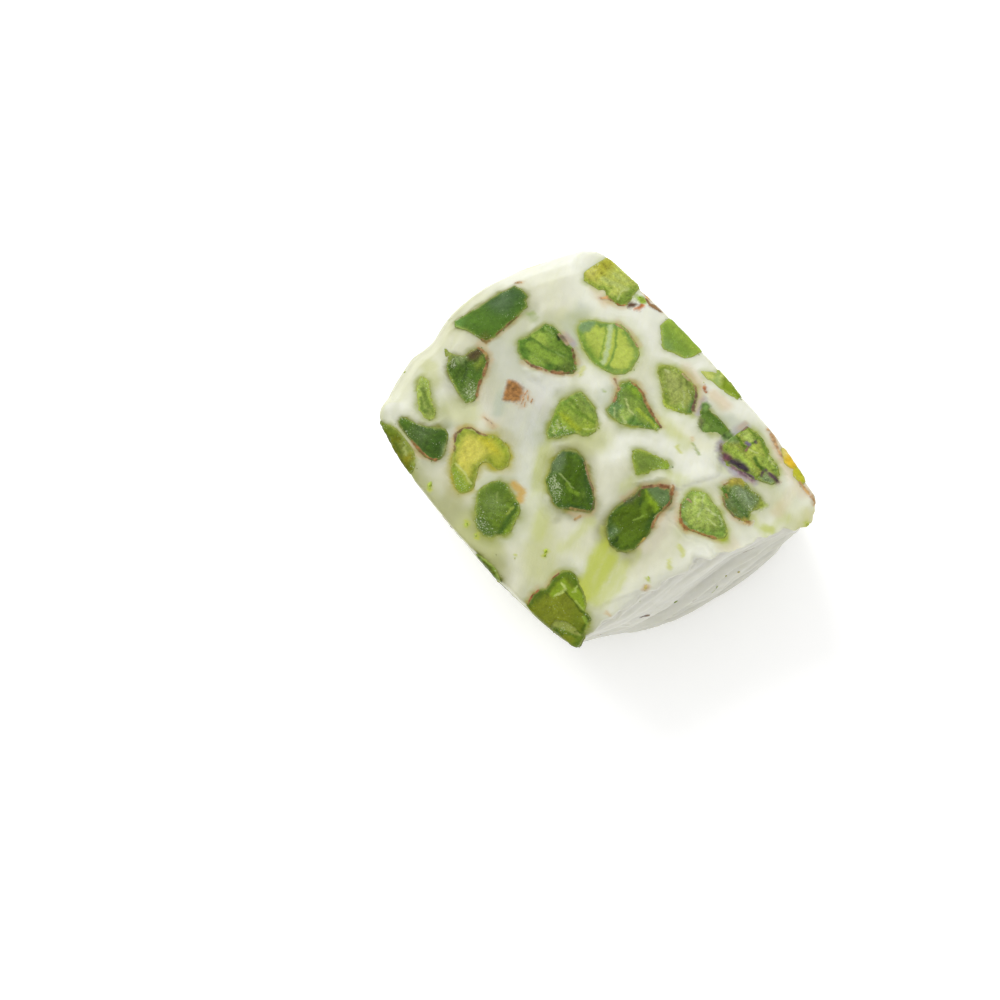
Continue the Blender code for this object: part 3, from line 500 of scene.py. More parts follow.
tones = mixed(tones, glow_tones * [1.0, 1.05, 0.05], np.clip(near_glow * (0.4 + 0.6 * halo), 0, 1))
for tone, width, *points in DABS:
    here = on_top * smooth(1.3 * (1.1 - away(flat, points)[0] / width))
    tones = mixed(tones, rgb(tone), 0.85 * here)
for tone, width, *points in STRIPS:
    if tone[0] > tone[1]:
        stain = 0.4 * on_top * smooth(1.2 * (1 - away(flat, points)[0] / (width + 0.3)))
        tones = mixed(tones, rgb((206, 172, 128)), stain)
paint(block, tones)
mask(block, "depth", 1 - 0.75 * np.clip(2 * near_glow * (0.4 + 0.6 * halo), 0, 1))
smear = np.zeros(len(places))
for reach, strength, *points in SMEARS:
    smear = np.maximum(smear, strength * smooth(1.1 * (1 - away(flat, points)[0] / reach)))
smear_off_top = 0.45 * smooth((cloud(drawn * [0.25, 1, 1], 3.4, 18, 2) - 0.1) / 0.7)
mask(block, "smear", smear * on_top + smear_off_top * (1 - on_top) * (1 - right_end))


def add(nodes, kind, inputs=None, **values):
    """A shader node with its settings, its inputs and what feeds them."""
    node = nodes.new("ShaderNode" + kind)
    for key, value in values.items():
        setattr(node, key, value)
    for key, value in (inputs or {}).items():
        if isinstance(value, bpy.types.NodeSocket):
            node.id_data.links.new(value, node.inputs[key])
        else:
            node.inputs[key].default_value = value
    return node


def layer(nodes, name):
    """What a mask on the mesh holds."""
    return add(nodes, "Attribute", attribute_name=name).outputs["Fac"]


def blend(nodes, share, under, over):
    """One colour laid over another by a share."""
    node = add(nodes, "Mix", data_type="RGBA", inputs={0: share})
    for index, value in ((6, under), (7, over)):
        if isinstance(value, bpy.types.NodeSocket):
            node.id_data.links.new(value, node.inputs[index])
        else:
            node.inputs[index].default_value = value
    return node.outputs[2]


def new_group(name, inputs, outputs):
    """An empty shader node group with named inputs and outputs."""
    group = bpy.data.node_groups.new(name, "ShaderNodeTree")
    for key, (kind, value) in inputs.items():
        socket = group.interface.new_socket(key, in_out="INPUT", socket_type="NodeSocket" + kind)
        if value is not None:
            socket.default_value = value
    for key, kind in outputs.items():
        group.interface.new_socket(key, in_out="OUTPUT", socket_type="NodeSocket" + kind)
    return group, group.nodes.new("NodeGroupInput").outputs, group.nodes.new("NodeGroupOutput").inputs


ragged, given, out = new_group(
    "ragged edge",
    {"Mask": ("Float", 0.0), "Place": ("Vector", None), "Lump Size": ("Float", 1.0),
     "Raggedness": ("Float", 0.5), "Softness": ("Float", 0.3)},
    {"Mask": "Float"})
nodes, link = ragged.nodes, ragged.links.new
scaled = add(nodes, "VectorMath", operation="DIVIDE", inputs={0: given["Place"], 1: given["Lump Size"]})
lumps = add(nodes, "TexNoise",
            inputs={"Vector": scaled.outputs[0], "Scale": 1.0, "Detail": 3.0, "Roughness": 0.6})
centred = add(nodes, "Math", operation="SUBTRACT", inputs={0: lumps.outputs["Fac"], 1: 0.5})
spread = add(nodes, "Math", operation="MULTIPLY", inputs={0: centred.outputs[0], 1: given["Raggedness"]})
rough = add(nodes, "Math", operation="ADD", inputs={0: given["Mask"], 1: spread.outputs[0]})
low = add(nodes, "Math", operation="SUBTRACT", inputs={0: 0.5, 1: given["Softness"]})
high = add(nodes, "Math", operation="ADD", inputs={0: 0.5, 1: given["Softness"]})
cut = add(nodes, "MapRange", interpolation_type="SMOOTHSTEP",
          inputs={"Value": rough.outputs[0], "From Min": low.outputs[0], "From Max": high.outputs[0]})
link(cut.outputs[0], out["Mask"])


def new_material(name):
    """A material with a Principled shader, its nodes, and places on the piece in millimetres."""
    material = bpy.data.materials.new(name)
    material.use_nodes = True
    nodes = material.node_tree.nodes
    shader = nodes["Principled BSDF"]
    where = add(nodes, "VectorMath", operation="SCALE",
                inputs={0: add(nodes, "TexCoord").outputs["Object"], "Scale": 1 / MM})
    return material, nodes, shader, where.outputs[0]


def edge(nodes, share, where, size, raggedness, softness):
    """A mask with its edge broken up by the ragged edge group."""
    node = add(nodes, "Group", node_tree=ragged, inputs={
        "Mask": share, "Place": where, "Lump Size": size, "Raggedness": raggedness, "Softness": softness})
    return node.outputs["Mask"]


def number(nodes, operation, a, b=0.0):
    """One sum on two values."""
    return add(nodes, "Math", operation=operation, inputs={0: a, 1: b}).outputs[0]


def drawn_out(nodes, where, turn, ratio):
    """Places squeezed along one way in the cut, so that a pattern on them is drawn out along it."""
    return add(nodes, "Mapping", vector_type="TEXTURE",
               inputs={"Vector": where, "Rotation": (0, 0, turn), "Scale": (ratio, 1, 1)}).outputs[0]


def noise_of(nodes, where, scale, detail=3.0, stretch=None):
    """Noise with so many lumps a millimetre, stretched along one way if asked."""
    if stretch:
        where = drawn_out(nodes, where, *stretch)
    return add(nodes, "TexNoise", inputs={"Vector": where, "Scale": scale, "Detail": detail}).outputs["Fac"]


def ranged(nodes, value, low, high, reach=(0.3, 0.7)):
    """A value spread out from low to high. Noise mostly lies between 0.3 and 0.7."""
    inputs = {"Value": value, "From Min": reach[0], "From Max": reach[1], "To Min": low, "To Max": high}
    return add(nodes, "MapRange", inputs=inputs).outputs[0]


def times(nodes, tone, factor):
    """A colour made lighter or darker by a factor."""
    return add(nodes, "VectorMath", operation="SCALE", inputs={0: tone, "Scale": factor}).outputs[0]


nougat_material, nodes, shader, where = new_material("nougat")
link = nougat_material.node_tree.links.new
base = add(nodes, "Attribute", attribute_name="tone").outputs["Color"]
base = times(nodes, base, ranged(nodes, noise_of(nodes, where, 0.9, 4.0), 0.97, 1.03))
drags = edge(nodes, layer(nodes, "smear"), drawn_out(nodes, where, KNIFE_WAY, 7), 0.9, 0.55, 0.62)
base = blend(nodes, number(nodes, "MULTIPLY", drags, 0.85), base, colour(*SMEARED))
link(base, shader.inputs["Base Color"])
link(ranged(nodes, noise_of(nodes, where, 0.7, 4.0), 0.34, 0.55), shader.inputs["Roughness"])
pores = noise_of(nodes, where, 5.0, 3.0)
drag = noise_of(nodes, where, 2.4, 3.0, (KNIFE_WAY, 8))
height = number(nodes, "ADD", number(nodes, "MULTIPLY", pores, 0.5), drag)
bump = add(nodes, "Bump", inputs={"Height": height, "Strength": 0.5, "Distance": 0.07 * MM})
link(bump.outputs[0], shader.inputs["Normal"])
link(number(nodes, "MULTIPLY", layer(nodes, "depth"), 0.8), shader.inputs["Subsurface Weight"])
shader.inputs["Subsurface Radius"].default_value = (1.0, 0.95, 0.7)
shader.inputs["Subsurface Scale"].default_value = 0.38 * MM
shader.inputs["Specular IOR Level"].default_value = 0.3

block.data.materials.clear()
block.data.materials.append(nougat_material)
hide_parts("nougat")
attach(block, "root")


# ---------------------------------------------------------------- the pistachio kernels
# Whole shelled pistachios set through the nougat and cut by the knife with it. A cut kernel
# has a dark green rim, a paler core with a fine grain that runs along the nut, and crumbles
# a little where the knife tears it. A film of nougat dries on some of them as a white bloom,
# and fine white specks on the cut faces are partly painted glints. Lighter and darker facets
# on the cut are partly painted light and shade.

KERNEL_GRAIN = 0.11
KERNEL_SPREAD = 0.22  # how far a kernel fills out past its solid, into its pocket's wall
INK, PINE, FOREST, MOSS, FERN = (44, 58, 22), (60, 90, 28), (78, 108, 40), (96, 126, 42), (116, 144, 54)
LEAF, SPRING, STRAW, LEMON = (138, 162, 62), (160, 182, 76), (186, 188, 72), (208, 202, 90)
# The milky white serves for dried nougat film and for painted glints.
OLIVE, FILM_AND_GLINT, PLUM = (122, 132, 30), (206, 214, 178), (92, 70, 82)

# How each cut kernel looks: flesh, rim, the rim's width and the crumble in mm, the bloom, the way
# that the grain runs in degrees, and how proud of the nougat it stands in mm
CUT_KERNELS = {
    "top_01": ((184, 194, 92), LEAF, 0.3, 0.09, 0.05, 25, 0.08),
    "top_02": ((78, 112, 34), MOSS, 0.2, 0.03, 0.10, 80, 0.06),
    "top_03": ((80, 108, 34), MOSS, 0.2, 0.08, 0.20, 120, 0.06),
    "top_04": (FERN, (82, 118, 38), 0.45, 0.07, 0.15, 20, 0.06),
    "top_05": ((180, 196, 82), (116, 150, 66), 0.35, 0.05, 0.02, 40, 0.05),
    "top_06": ((126, 156, 58), (140, 168, 70), 0.2, 0.03, 0.05, 10, 0.02),
    "top_07": ((138, 156, 74), SPRING, 0.3, 0.05, 0.25, 150, 0.02),
    "top_08": ((76, 104, 26), FOREST, 0.2, 0.04, 0.20, 40, 0.03),
    "top_09": ((186, 188, 76), (132, 148, 44), 0.5, 0.06, 0.10, 120, 0.08),
    "top_10": ((100, 126, 30), (118, 142, 50), 0.25, 0.06, 0.25, 60, 0.08),
    "top_11": (LEAF, (108, 142, 58), 0.35, 0.07, 0.10, 15, 0.08),
    "top_12": ((126, 150, 60), (102, 136, 52), 0.3, 0.07, 0.15, 150, 0.06),
    "top_13": ((158, 170, 84), (126, 146, 54), 0.3, 0.06, 0.20, 160, 0.06),
    "top_14": ((104, 134, 50), (84, 116, 36), 0.2, 0.05, 0.10, 20, 0.03),
    "top_15": ((148, 160, 66), (116, 146, 46), 0.25, 0.14, 0.15, 20, 0.12),
    "top_16": ((122, 144, 60), (134, 156, 54), 0.25, 0.04, 0.10, 30, 0.03),
    "top_17": ((74, 102, 16), (66, 96, 34), 0.25, 0.08, 0.15, 150, 0.12),
    "top_18": ((82, 106, 16), (62, 90, 24), 0.3, 0.06, 0.10, 100, 0.12),
    "top_19": ((156, 176, 82), (118, 146, 60), 0.35, 0.07, 0.25, 60, 0.06),
    "top_20": ((114, 134, 80), (110, 128, 52), 0.3, 0.11, 0.30, 20, 0.04),
    "top_21": (OLIVE, (84, 110, 20), 0.25, 0.05, 0.02, 10, 0.10),
    "top_22": ((104, 112, 12), (122, 138, 48), 0.2, 0.08, 0.10, 0, 0.05),
    "top_23": ((86, 98, 18), FERN, 0.2, 0.05, 0.10, 0, 0.02),
    "top_24": ((214, 222, 124), (168, 190, 90), 0.2, 0.05, 0.05, 0, 0.02),
    "top_25": ((232, 212, 92), STRAW, 0.2, 0.05, 0.05, 0, 0.05),
}
# The same for the kernels on the other sides, which take turns
SIDE_LOOKS = [
    (FOREST, MOSS, 0.3, 0.06, 0.20, 20, 0.05), (FERN, MOSS, 0.4, 0.06, 0.15, 140, 0.05),
    (LEAF, (98, 132, 48), 0.4, 0.07, 0.10, 60, 0.06), ((80, 106, 34), PINE, 0.3, 0.05, 0.15, 100, 0.05),
    (SPRING, (96, 134, 50), 0.4, 0.06, 0.05, 10, 0.05), ((126, 140, 44), MOSS, 0.3, 0.06, 0.15, 80, 0.05),
]
# What the cut shows on each kernel: areas as tone, strength, softness of the edge and corners,
# then lines as tone, strength, width and points, then areas where nougat clings as bloom. The lighter
# and darker areas and lines are partly the flesh's own colour and partly painted light and shade on
# the cut's facets.
AREAS = {
    "top_01": [
        ((178, 176, 56), 0.9, 0.5, (-15.2, 15.8), (-13.2, 15.8), (-12.9, 13.2), (-13.4, 10.8),
         (-15.2, 10.8)),
        ((192, 192, 104), 0.7, 0.4, (-14.7, 12.6), (-13.9, 12.8), (-13.4, 12.1), (-14, 11.5),
         (-14.7, 11.7)),
        ((122, 148, 54), 0.9, 0.25, (-10.3, 14.6), (-8.8, 14.4), (-8.6, 13.2), (-9.2, 11.8),
         (-10.6, 12.1), (-10.2, 13.1))],
    "top_02": [
        ((66, 96, 52), 0.85, 0.8, (-18.8, 5.3), (-16.6, 5.2), (-16.4, 2.6), (-17.4, 1.4), (-19.2, 1.2)),
        ((108, 132, 92), 0.55, 0.6, (-18.4, 3.8), (-17, 3.4), (-16.8, 2.2), (-18.2, 1.8)),
        ((88, 124, 38), 0.7, 1, (-19.2, 0.6), (-15.6, 0.8), (-15.6, -1), (-18.8, -1.8)),
        ((104, 146, 66), 0.9, 0.4, (-19.4, -0.6), (-18.8, -1.6), (-18.4, -2.4), (-19.9, -3.3),
         (-20, -1.6)),
        ((92, 96, 28), 0.7, 0.3, (-16.2, -0.6), (-15, -0.4), (-15, -1.6), (-16.2, -1.4))],
    "top_03": [
        ((92, 72, 48), 0.85, 0.3, (-15.6, -2.2), (-14.3, -1.8), (-14.3, -3.2), (-14.9, -3.9),
         (-15.8, -3.8)),
        ((76, 106, 34), 0.8, 0.4, (-14.2, -1.8), (-13.4, -2.2), (-12.4, -3.9), (-12.9, -4.9),
         (-14, -4.6)),
        ((126, 140, 50), 0.7, 0.25, (-14.3, -2.6), (-13.5, -2.7), (-13.5, -3.8), (-14.1, -3.7)),
        ((148, 164, 108), 0.8, 0.3, (-16.6, -4.8), (-15.4, -3.9), (-15.1, -4.6), (-15.9, -5.1),
         (-16.8, -5.1)),
        ((146, 158, 70), 0.9, 0.3, (-18, -5), (-16.6, -4.8), (-15.9, -5.6), (-16.4, -6.1), (-17.4, -5.6)),
        ((124, 144, 82), 0.6, 0.3, (-13.2, -5.2), (-11.4, -5), (-11, -6.2), (-12.6, -6.8))],
    "top_04": [
        ((84, 100, 36), 0.8, 0.5, (-7.9, 4.9), (-6.4, 4.2), (-7.2, 2.8), (-8.4, 2.5), (-8.3, 4)),
        ((104, 132, 40), 0.7, 0.5, (-11, 5.3), (-8.6, 5.3), (-8.4, 4.3), (-10.6, 4.2)),
        ((92, 130, 42), 0.8, 0.5, (-13.4, 1.4), (-12.6, 0.8), (-11.4, 1), (-11.6, 1.9), (-13.1, 2.2)),
        ((162, 186, 76), 0.95, 0.3, (-12.7, 3), (-12.6, 3.9), (-11.6, 4.1), (-10.9, 3.6), (-11.6, 3)),
        ((144, 168, 70), 0.7, 0.3, (-10.9, 1.7), (-9.4, 2.1), (-9.6, 1.3), (-10.8, 1))],
    "top_05": [
        ((188, 202, 92), 0.8, 0.7, (-6.2, 10), (-4.6, 10.2), (-3.9, 9), (-4.4, 7.9), (-5.4, 8.6)),
        ((178, 196, 86), 0.8, 0.6, (-9, 8.6), (-8, 8.9), (-7.2, 7.8), (-8.4, 7.2)),
        ((124, 158, 50), 0.75, 0.4, (-10, 7.1), (-8, 6.4), (-6.2, 6.3), (-4.8, 6.8), (-6.6, 7.1),
         (-8.6, 7.2)),
        ((128, 158, 104), 0.95, 0.15, (-11, 7.9), (-10.5, 8.8), (-9.7, 9.3), (-9.3, 8.7), (-9.2, 8),
         (-9.6, 7.4), (-10.7, 7.1)),
        ((116, 150, 82), 0.85, 0.2, (-8.9, 10.3), (-8.2, 10.9), (-7.6, 10.6), (-7.9, 10), (-8.6, 9.7))],
    "top_06": [
        ((160, 186, 68), 0.9, 0.5, (-5.2, 15), (-1, 15.2), (0.2, 15.2), (0.2, 16.6), (-5.2, 16.6)),
        ((132, 162, 94), 0.7, 0.4, (-3.8, 13.7), (-2.7, 12.8), (-1.8, 13.5), (-2.8, 13.9))],
    "top_07": [
        ((156, 176, 88), 0.8, 0.5, (-17.1, -8.9), (-16, -8.4), (-15.4, -9), (-15.8, -9.8), (-16.6, -9.6)),
        ((146, 162, 74), 0.8, 0.4, (-13.2, -10.6), (-12.1, -10.4), (-12.2, -11.3), (-13.4, -11.4))],
    "top_08": [
        ((62, 94, 28), 0.8, 0.5, (-10.9, -10.6), (-10, -10.3), (-8.8, -12), (-9, -13.2), (-10.6, -13),
         (-10.8, -11.8)),
        ((94, 116, 72), 0.7, 0.6, (-12.4, -12.3), (-11.2, -11.8), (-11, -13.2), (-12.8, -13.3)),
        ((80, 112, 30), 0.8, 0.4, (-14.8, -13.2), (-13.6, -12.7), (-13, -13.4), (-14.2, -14.1)),
        ((146, 162, 112), 0.7, 0.3, (-9.2, -11.2), (-8.7, -11.5), (-8.1, -12.2), (-8.6, -12.3),
         (-9.2, -11.8))],
    "top_09": [
        (LEMON, 0.95, 0.5, (-8.7, -8.9), (-7.4, -8.3), (-5.8, -8.2), (-5.5, -9.6), (-5.9, -10.8),
         (-5.2, -11.2), (-6.6, -11.7), (-8.1, -10.7)),
        ((194, 186, 46), 0.85, 0.4, (-7.6, -8.1), (-6.4, -7.2), (-4.6, -7.2), (-4.8, -7.9), (-6.4, -8.2)),
        ((150, 160, 44), 0.8, 0.5, (-4.9, -7.6), (-3.3, -7.4), (-3, -8.3), (-4.2, -9), (-5.2, -8.4)),
        ((160, 176, 58), 0.8, 0.4, (-6.4, -6.6), (-4.8, -6.1), (-3.6, -6.7), (-4.6, -7.1), (-6, -7.1)),
        ((134, 160, 50), 0.9, 0.35, (-6.9, -12), (-5.2, -11.8), (-4, -12), (-3.6, -13.2), (-4.6, -13.7),
         (-6.4, -13)),
        ((160, 178, 62), 0.7, 0.4, (-9.8, -8.8), (-8.9, -8), (-8.7, -9.6), (-8, -10.6), (-8.8, -10.8),
         (-9.8, -9.8))],
    "top_10": [
        ((118, 140, 74), 0.6, 0.6, (-2.6, -10.8), (-1, -10.2), (0.2, -10.6), (0, -12.2), (-1.6, -12.6)),
        ((88, 116, 36), 0.85, 0.4, (-3, -9.6), (-2, -8.7), (-1.2, -8.8), (-1.2, -9.8), (-2.4, -10.6)),
        ((86, 112, 50), 0.8, 0.4, (-0.6, -13), (1.6, -12.8), (1.7, -14), (0.2, -14.5), (-1.2, -13.8)),
        ((130, 158, 42), 0.9, 0.25, (1.5, -9.6), (2.2, -10.8), (2.8, -12), (2.5, -12.9), (1.9, -12.6),
         (1.9, -11.4), (1.4, -10.4))],
    "top_11": [
        ((130, 152, 68), 0.7, 0.5, (-5, 3.4), (-2, 3.3), (-1.2, 2.4), (-3, 1.9), (-5.1, 2)),
        ((160, 180, 58), 0.75, 0.5, (-1.8, 2.6), (-0.6, 2.5), (-0.2, 1.4), (-0.9, 0.7), (-1.8, 1.2)),
        ((150, 178, 58), 0.8, 0.4, (-5.2, 0.9), (-3.6, 0.9), (-4.3, 0.2), (-5.2, 0.3)),
        ((108, 138, 32), 0.85, 0.35, (-5, 0), (-4.2, -0.1), (-3.7, -1.2), (-3.6, -2.4), (-4.4, -1.4)),
        ((166, 182, 40), 0.85, 0.2, (-4.4, 0.2), (-3, 0.7), (-1.5, 0.9), (-1.3, 0.4), (-2.6, 0.1),
         (-4.3, 0))],
    "top_12": [
        ((96, 134, 42), 0.8, 0.4, (-2.7, 7.5), (-1.9, 8.3), (-0.2, 8.4), (-0.1, 7.6), (-1, 7.2),
         (-2.2, 7.1)),
        ((138, 170, 48), 0.9, 0.15, (-1.9, 7.6), (-1.4, 8.05), (-0.5, 8.1), (-0.2, 7.7), (-0.9, 7.4)),
        ((112, 138, 68), 0.8, 0.4, (-2.4, 7), (-0.8, 6.6), (-1, 5.8), (-1.9, 5.8)),
        ((106, 140, 80), 0.9, 0.25, (-1.6, 5.5), (-0.4, 5.9), (-0.2, 4.6), (-0.4, 4), (-1.6, 4)),
        ((160, 184, 92), 0.9, 0.25, (-0.1, 6.2), (0.9, 6.2), (0.8, 5.1), (0.1, 4.4), (-0.3, 5)),
        ((94, 130, 56), 0.9, 0.2, (1, 6.3), (2.2, 6), (1.9, 5.2), (1, 4.6), (0.8, 5.4)),
        ((92, 132, 30), 0.9, 0.25, (3, 7.6), (4, 7.6), (4, 7), (3.3, 6.8))],
    "top_13": [
        ((162, 172, 98), 0.7, 0.6, (-0.6, 11.8), (1.4, 12.2), (2, 11), (0.6, 10.7)),
        ((118, 138, 40), 0.8, 0.3, (-1.9, 11.8), (-1.3, 12.3), (-0.5, 12.7), (-1.2, 11.6), (-0.4, 10.8),
         (-1.8, 11.1)),
        ((124, 140, 62), 0.8, 0.4, (1.2, 13), (2.9, 13), (3.2, 12.2), (1.4, 12.2)),
        ((118, 140, 40), 0.8, 0.3, (1, 10.4), (2, 10.1), (2.4, 9.4), (1.5, 9.4)),
        ((140, 168, 68), 0.7, 0.3, (2.8, 10.6), (4, 10.9), (4.3, 10.4), (3.2, 9.8)),
        ((84, 118, 58), 0.95, 0.2, (3.2, 12.5), (4, 12), (4.9, 10.9), (4.2, 10.6), (3.7, 11.2),
         (3.5, 11.9))],
    "top_14": [
        ((78, 112, 30), 0.9, 0.3, (4.5, 12.5), (8.8, 12.9), (8.8, 12.4), (6.8, 12.1), (5.2, 12.1)),
        ((84, 122, 30), 0.8, 0.25, (5.3, 11.4), (6.2, 11.5), (6.2, 11), (5.8, 10.8)),
        ((110, 144, 62), 0.6, 0.4, (6.8, 12), (8.2, 12.1), (8.2, 11.6), (7.2, 11.1)),
        ((118, 150, 84), 0.7, 0.3, (6, 10.9), (6.4, 10.4), (7, 10.7), (6.5, 11)),
        ((126, 156, 68), 0.95, 0.12, (6.25, 11.2), (6.45, 11.5), (6.85, 11.5), (7.1, 11.2), (6.9, 10.8),
         (6.5, 10.8))],
    "top_15": [
        ((176, 196, 100), 0.9, 0.2, (9.6, 14.3), (11, 14.3), (10.9, 13.5), (9.8, 13.4)),
        ((178, 196, 84), 0.9, 0.2, (11.1, 13.9), (12.6, 14.2), (12.6, 12.7), (11.4, 12.7)),
        ((160, 186, 74), 0.9, 0.2, (9.3, 11.4), (10.6, 12.2), (12.4, 12.4), (13.6, 12.2), (12, 11.5),
         (10.4, 11.2)),
        ((156, 184, 78), 0.8, 0.3, (12.6, 13.3), (13.2, 14.1), (14.6, 14), (15.2, 13.6), (13.6, 13.2)),
        ((126, 146, 100), 0.9, 0.2, (14.4, 13), (15.9, 13.2), (15.9, 12.4), (14.6, 12)),
        ((130, 154, 100), 0.8, 0.2, (9.1, 12.1), (9.9, 12.9), (10.1, 12.5), (9.4, 11.9)),
        ((118, 150, 58), 0.8, 0.3, (13.2, 11.7), (14.4, 12), (14.3, 11.5), (13.4, 11.2))],
    "top_16": [
        ((110, 134, 50), 0.75, 0.5, (5.2, 4.9), (6.4, 5.2), (6.4, 3.6), (5.6, 3.2)),
        ((140, 168, 50), 0.8, 0.3, (7, 5.9), (8, 5.8), (7.4, 4.8), (6.9, 5.1))],
    "top_17": [
        ((58, 88, 28), 0.85, 0.6, (1.6, -1), (3.4, -1.6), (5.2, -2.4), (6.4, -3.6), (4.8, -3.4),
         (3, -2.4)),
        ((92, 122, 40), 0.7, 0.3, (0.2, -1), (1, -1.3), (0.8, -2), (0.2, -1.8)),
        ((96, 126, 50), 0.6, 0.4, (0.6, -4.2), (2.4, -4.4), (3.2, -5.2), (3.2, -6.4), (1.6, -6),
         (0.4, -5)),
        ((106, 128, 84), 0.85, 0.3, (-1.3, -2.2), (-0.6, -2), (0.2, -2.6), (0.9, -3.6), (0.4, -4.4),
         (-0.5, -3.9), (-1, -2.8)),
        ((44, 70, 24), 0.95, 0.25, (5.2, -4.4), (6.4, -4), (5.2, -5.1), (4, -6), (4.2, -5.2)),
        ((116, 142, 50), 0.7, 0.12, (4, -3.1), (4.5, -3.2), (4.4, -3.5), (4, -3.4)),
        ((104, 134, 36), 0.9, 0.15, (0.3, -5.1), (1, -5.4), (1.7, -6.1), (0.9, -6), (0.3, -5.6))],
    "top_18": [
        ((58, 86, 22), 0.8, 0.35, (10.2, 1.6), (10.8, 1.4), (11.7, 0), (11.2, -0.8), (10.6, 0)),
        ((64, 90, 28), 0.8, 0.3, (8.1, 1.6), (8.8, 1.2), (8.8, 0.4), (8.1, 0.9)),
        ((90, 92, 60), 0.75, 0.3, (7.1, 1.6), (7.9, 1.3), (8, 0), (7.6, -0.5), (7.1, 0)),
        ((96, 124, 30), 0.7, 0.5, (10.6, -2), (11.9, -1.6), (12.1, -3.6), (10.8, -3.8)),
        ((106, 132, 90), 0.7, 0.3, (8.8, -2.9), (9.6, -2.8), (9.7, -3.8), (9, -3.8)),
        ((136, 166, 34), 0.95, 0.15, (7.3, 2.1), (9, 2.3), (10.4, 1.9), (10.4, 1.4), (9, 1.6),
         (8.2, 1.9)),
        ((104, 130, 78), 0.9, 0.2, (7.6, 2.4), (8.2, 3.6), (9, 4.3), (10.1, 4.2), (10.7, 3), (10.4, 2.2),
         (9, 2.2))],
    "top_19": [
        ((178, 198, 102), 0.8, 0.6, (12, 6.4), (14.2, 6.6), (14.6, 5.2), (13.4, 4.2), (12, 4.4)),
        ((120, 148, 72), 0.85, 0.4, (10.7, 5), (11.6, 5.1), (12.2, 3.9), (12.2, 3), (11.2, 4)),
        ((116, 148, 58), 0.8, 0.4, (16, 6), (17.2, 5.5), (16.6, 4.6), (15.4, 4.4))],
    "top_20": [
        ((132, 152, 112), 0.7, 0.3, (13.6, 10), (16, 10), (16.4, 9.4), (14, 9.3)),
        ((84, 114, 50), 0.9, 0.2, (13.4, 9.1), (15.2, 8.9), (17, 8.7), (16.6, 8.2), (15, 8.4),
         (13.6, 8.6)),
        ((166, 160, 50), 0.9, 0.2, (12.5, 9.3), (12.7, 10.2), (13.8, 10.8), (14.1, 10.2), (13.3, 9.8),
         (13.2, 9.3)),
        ((150, 160, 68), 0.8, 0.25, (16.5, 10.8), (17.1, 10.8), (16.9, 9.8), (16.6, 9.6)),
        ((176, 150, 60), 0.8, 0.2, (16.7, 8.3), (17.6, 8.4), (17.2, 7.8), (16.7, 7.9)),
        ((86, 128, 36), 0.95, 0.12, (12.4, 8.5), (13.4, 8.7), (13.8, 8.3), (13, 8.1), (12.4, 8.3))],
    "top_21": [
        ((106, 124, 26), 0.7, 0.5, (13, -11.3), (14.8, -11.6), (16.2, -13.4), (14.4, -13)),
        ((84, 104, 18), 0.85, 0.3, (9.4, -12.8), (10.2, -12.6), (10, -14.8), (9.3, -15.2), (8.9, -13.8)),
        ((90, 116, 22), 0.9, 0.25, (8.8, -10), (9.6, -9.1), (11, -9.1), (12.8, -9.7), (11.4, -10.2),
         (10, -10.4), (9.9, -12.6), (9, -12)),
        ((134, 160, 36), 0.95, 0.1, (9.8, -10.4), (11.2, -10.4), (11.4, -9.9), (12.6, -9.9),
         (13.9, -10.5), (14, -10.9), (13, -10.9), (11.8, -11), (10.9, -10.9), (10.8, -12.6),
         (10.3, -12.6), (9.9, -11.4)),
        ((98, 124, 30), 0.8, 0.25, (15.6, -12.3), (16.4, -13), (17.2, -13.9), (15.8, -14)),
        ((72, 96, 18), 1, 0.12, (13.9, -10.4), (15.3, -10.7), (15.3, -11.2), (14.2, -11.1))],
    "top_22": [
        ((108, 130, 30), 0.8, 0.4, (-16.4, -15.6), (-14.6, -14.5), (-13.4, -14.3), (-13.6, -15.6)),
        ((146, 160, 74), 0.8, 0.35, (-12.2, -14.4), (-10.8, -14.4), (-9.6, -15.3), (-11, -15.7),
         (-12.4, -15.2)),
        ((140, 136, 20), 0.9, 0.25, (-10.9, -14.8), (-10.2, -14.8), (-10.3, -15.9), (-10.9, -15.7))],
    "top_24": [
        ((160, 186, 106), 0.8, 0.2, (2.8, 15.8), (3.6, 15.8), (4.2, 14.8), (3.2, 14.7)),
        ((196, 204, 108), 0.9, 0.2, (1.4, 14.3), (2.8, 14.4), (2.8, 15.2), (1.8, 15.2)),
        ((124, 150, 20), 0.95, 0.2, (3.4, 16.2), (6.8, 16.2), (6.6, 15.6), (5, 15.1), (4.3, 15),
         (3.8, 15.5))],
    "top_25": [
        ((226, 206, 118), 0.9, 0.25, (13, 16.4), (13, 15.8), (14.4, 15.2), (14.4, 16.4)),
        ((228, 190, 48), 0.95, 0.2, (14.4, 15.1), (15.9, 15.1), (15.9, 16.4), (14.4, 16.4)),
        ((190, 190, 40), 0.95, 0.2, (15.9, 15.1), (18, 15), (17.8, 16.4), (15.9, 16.4))],
}
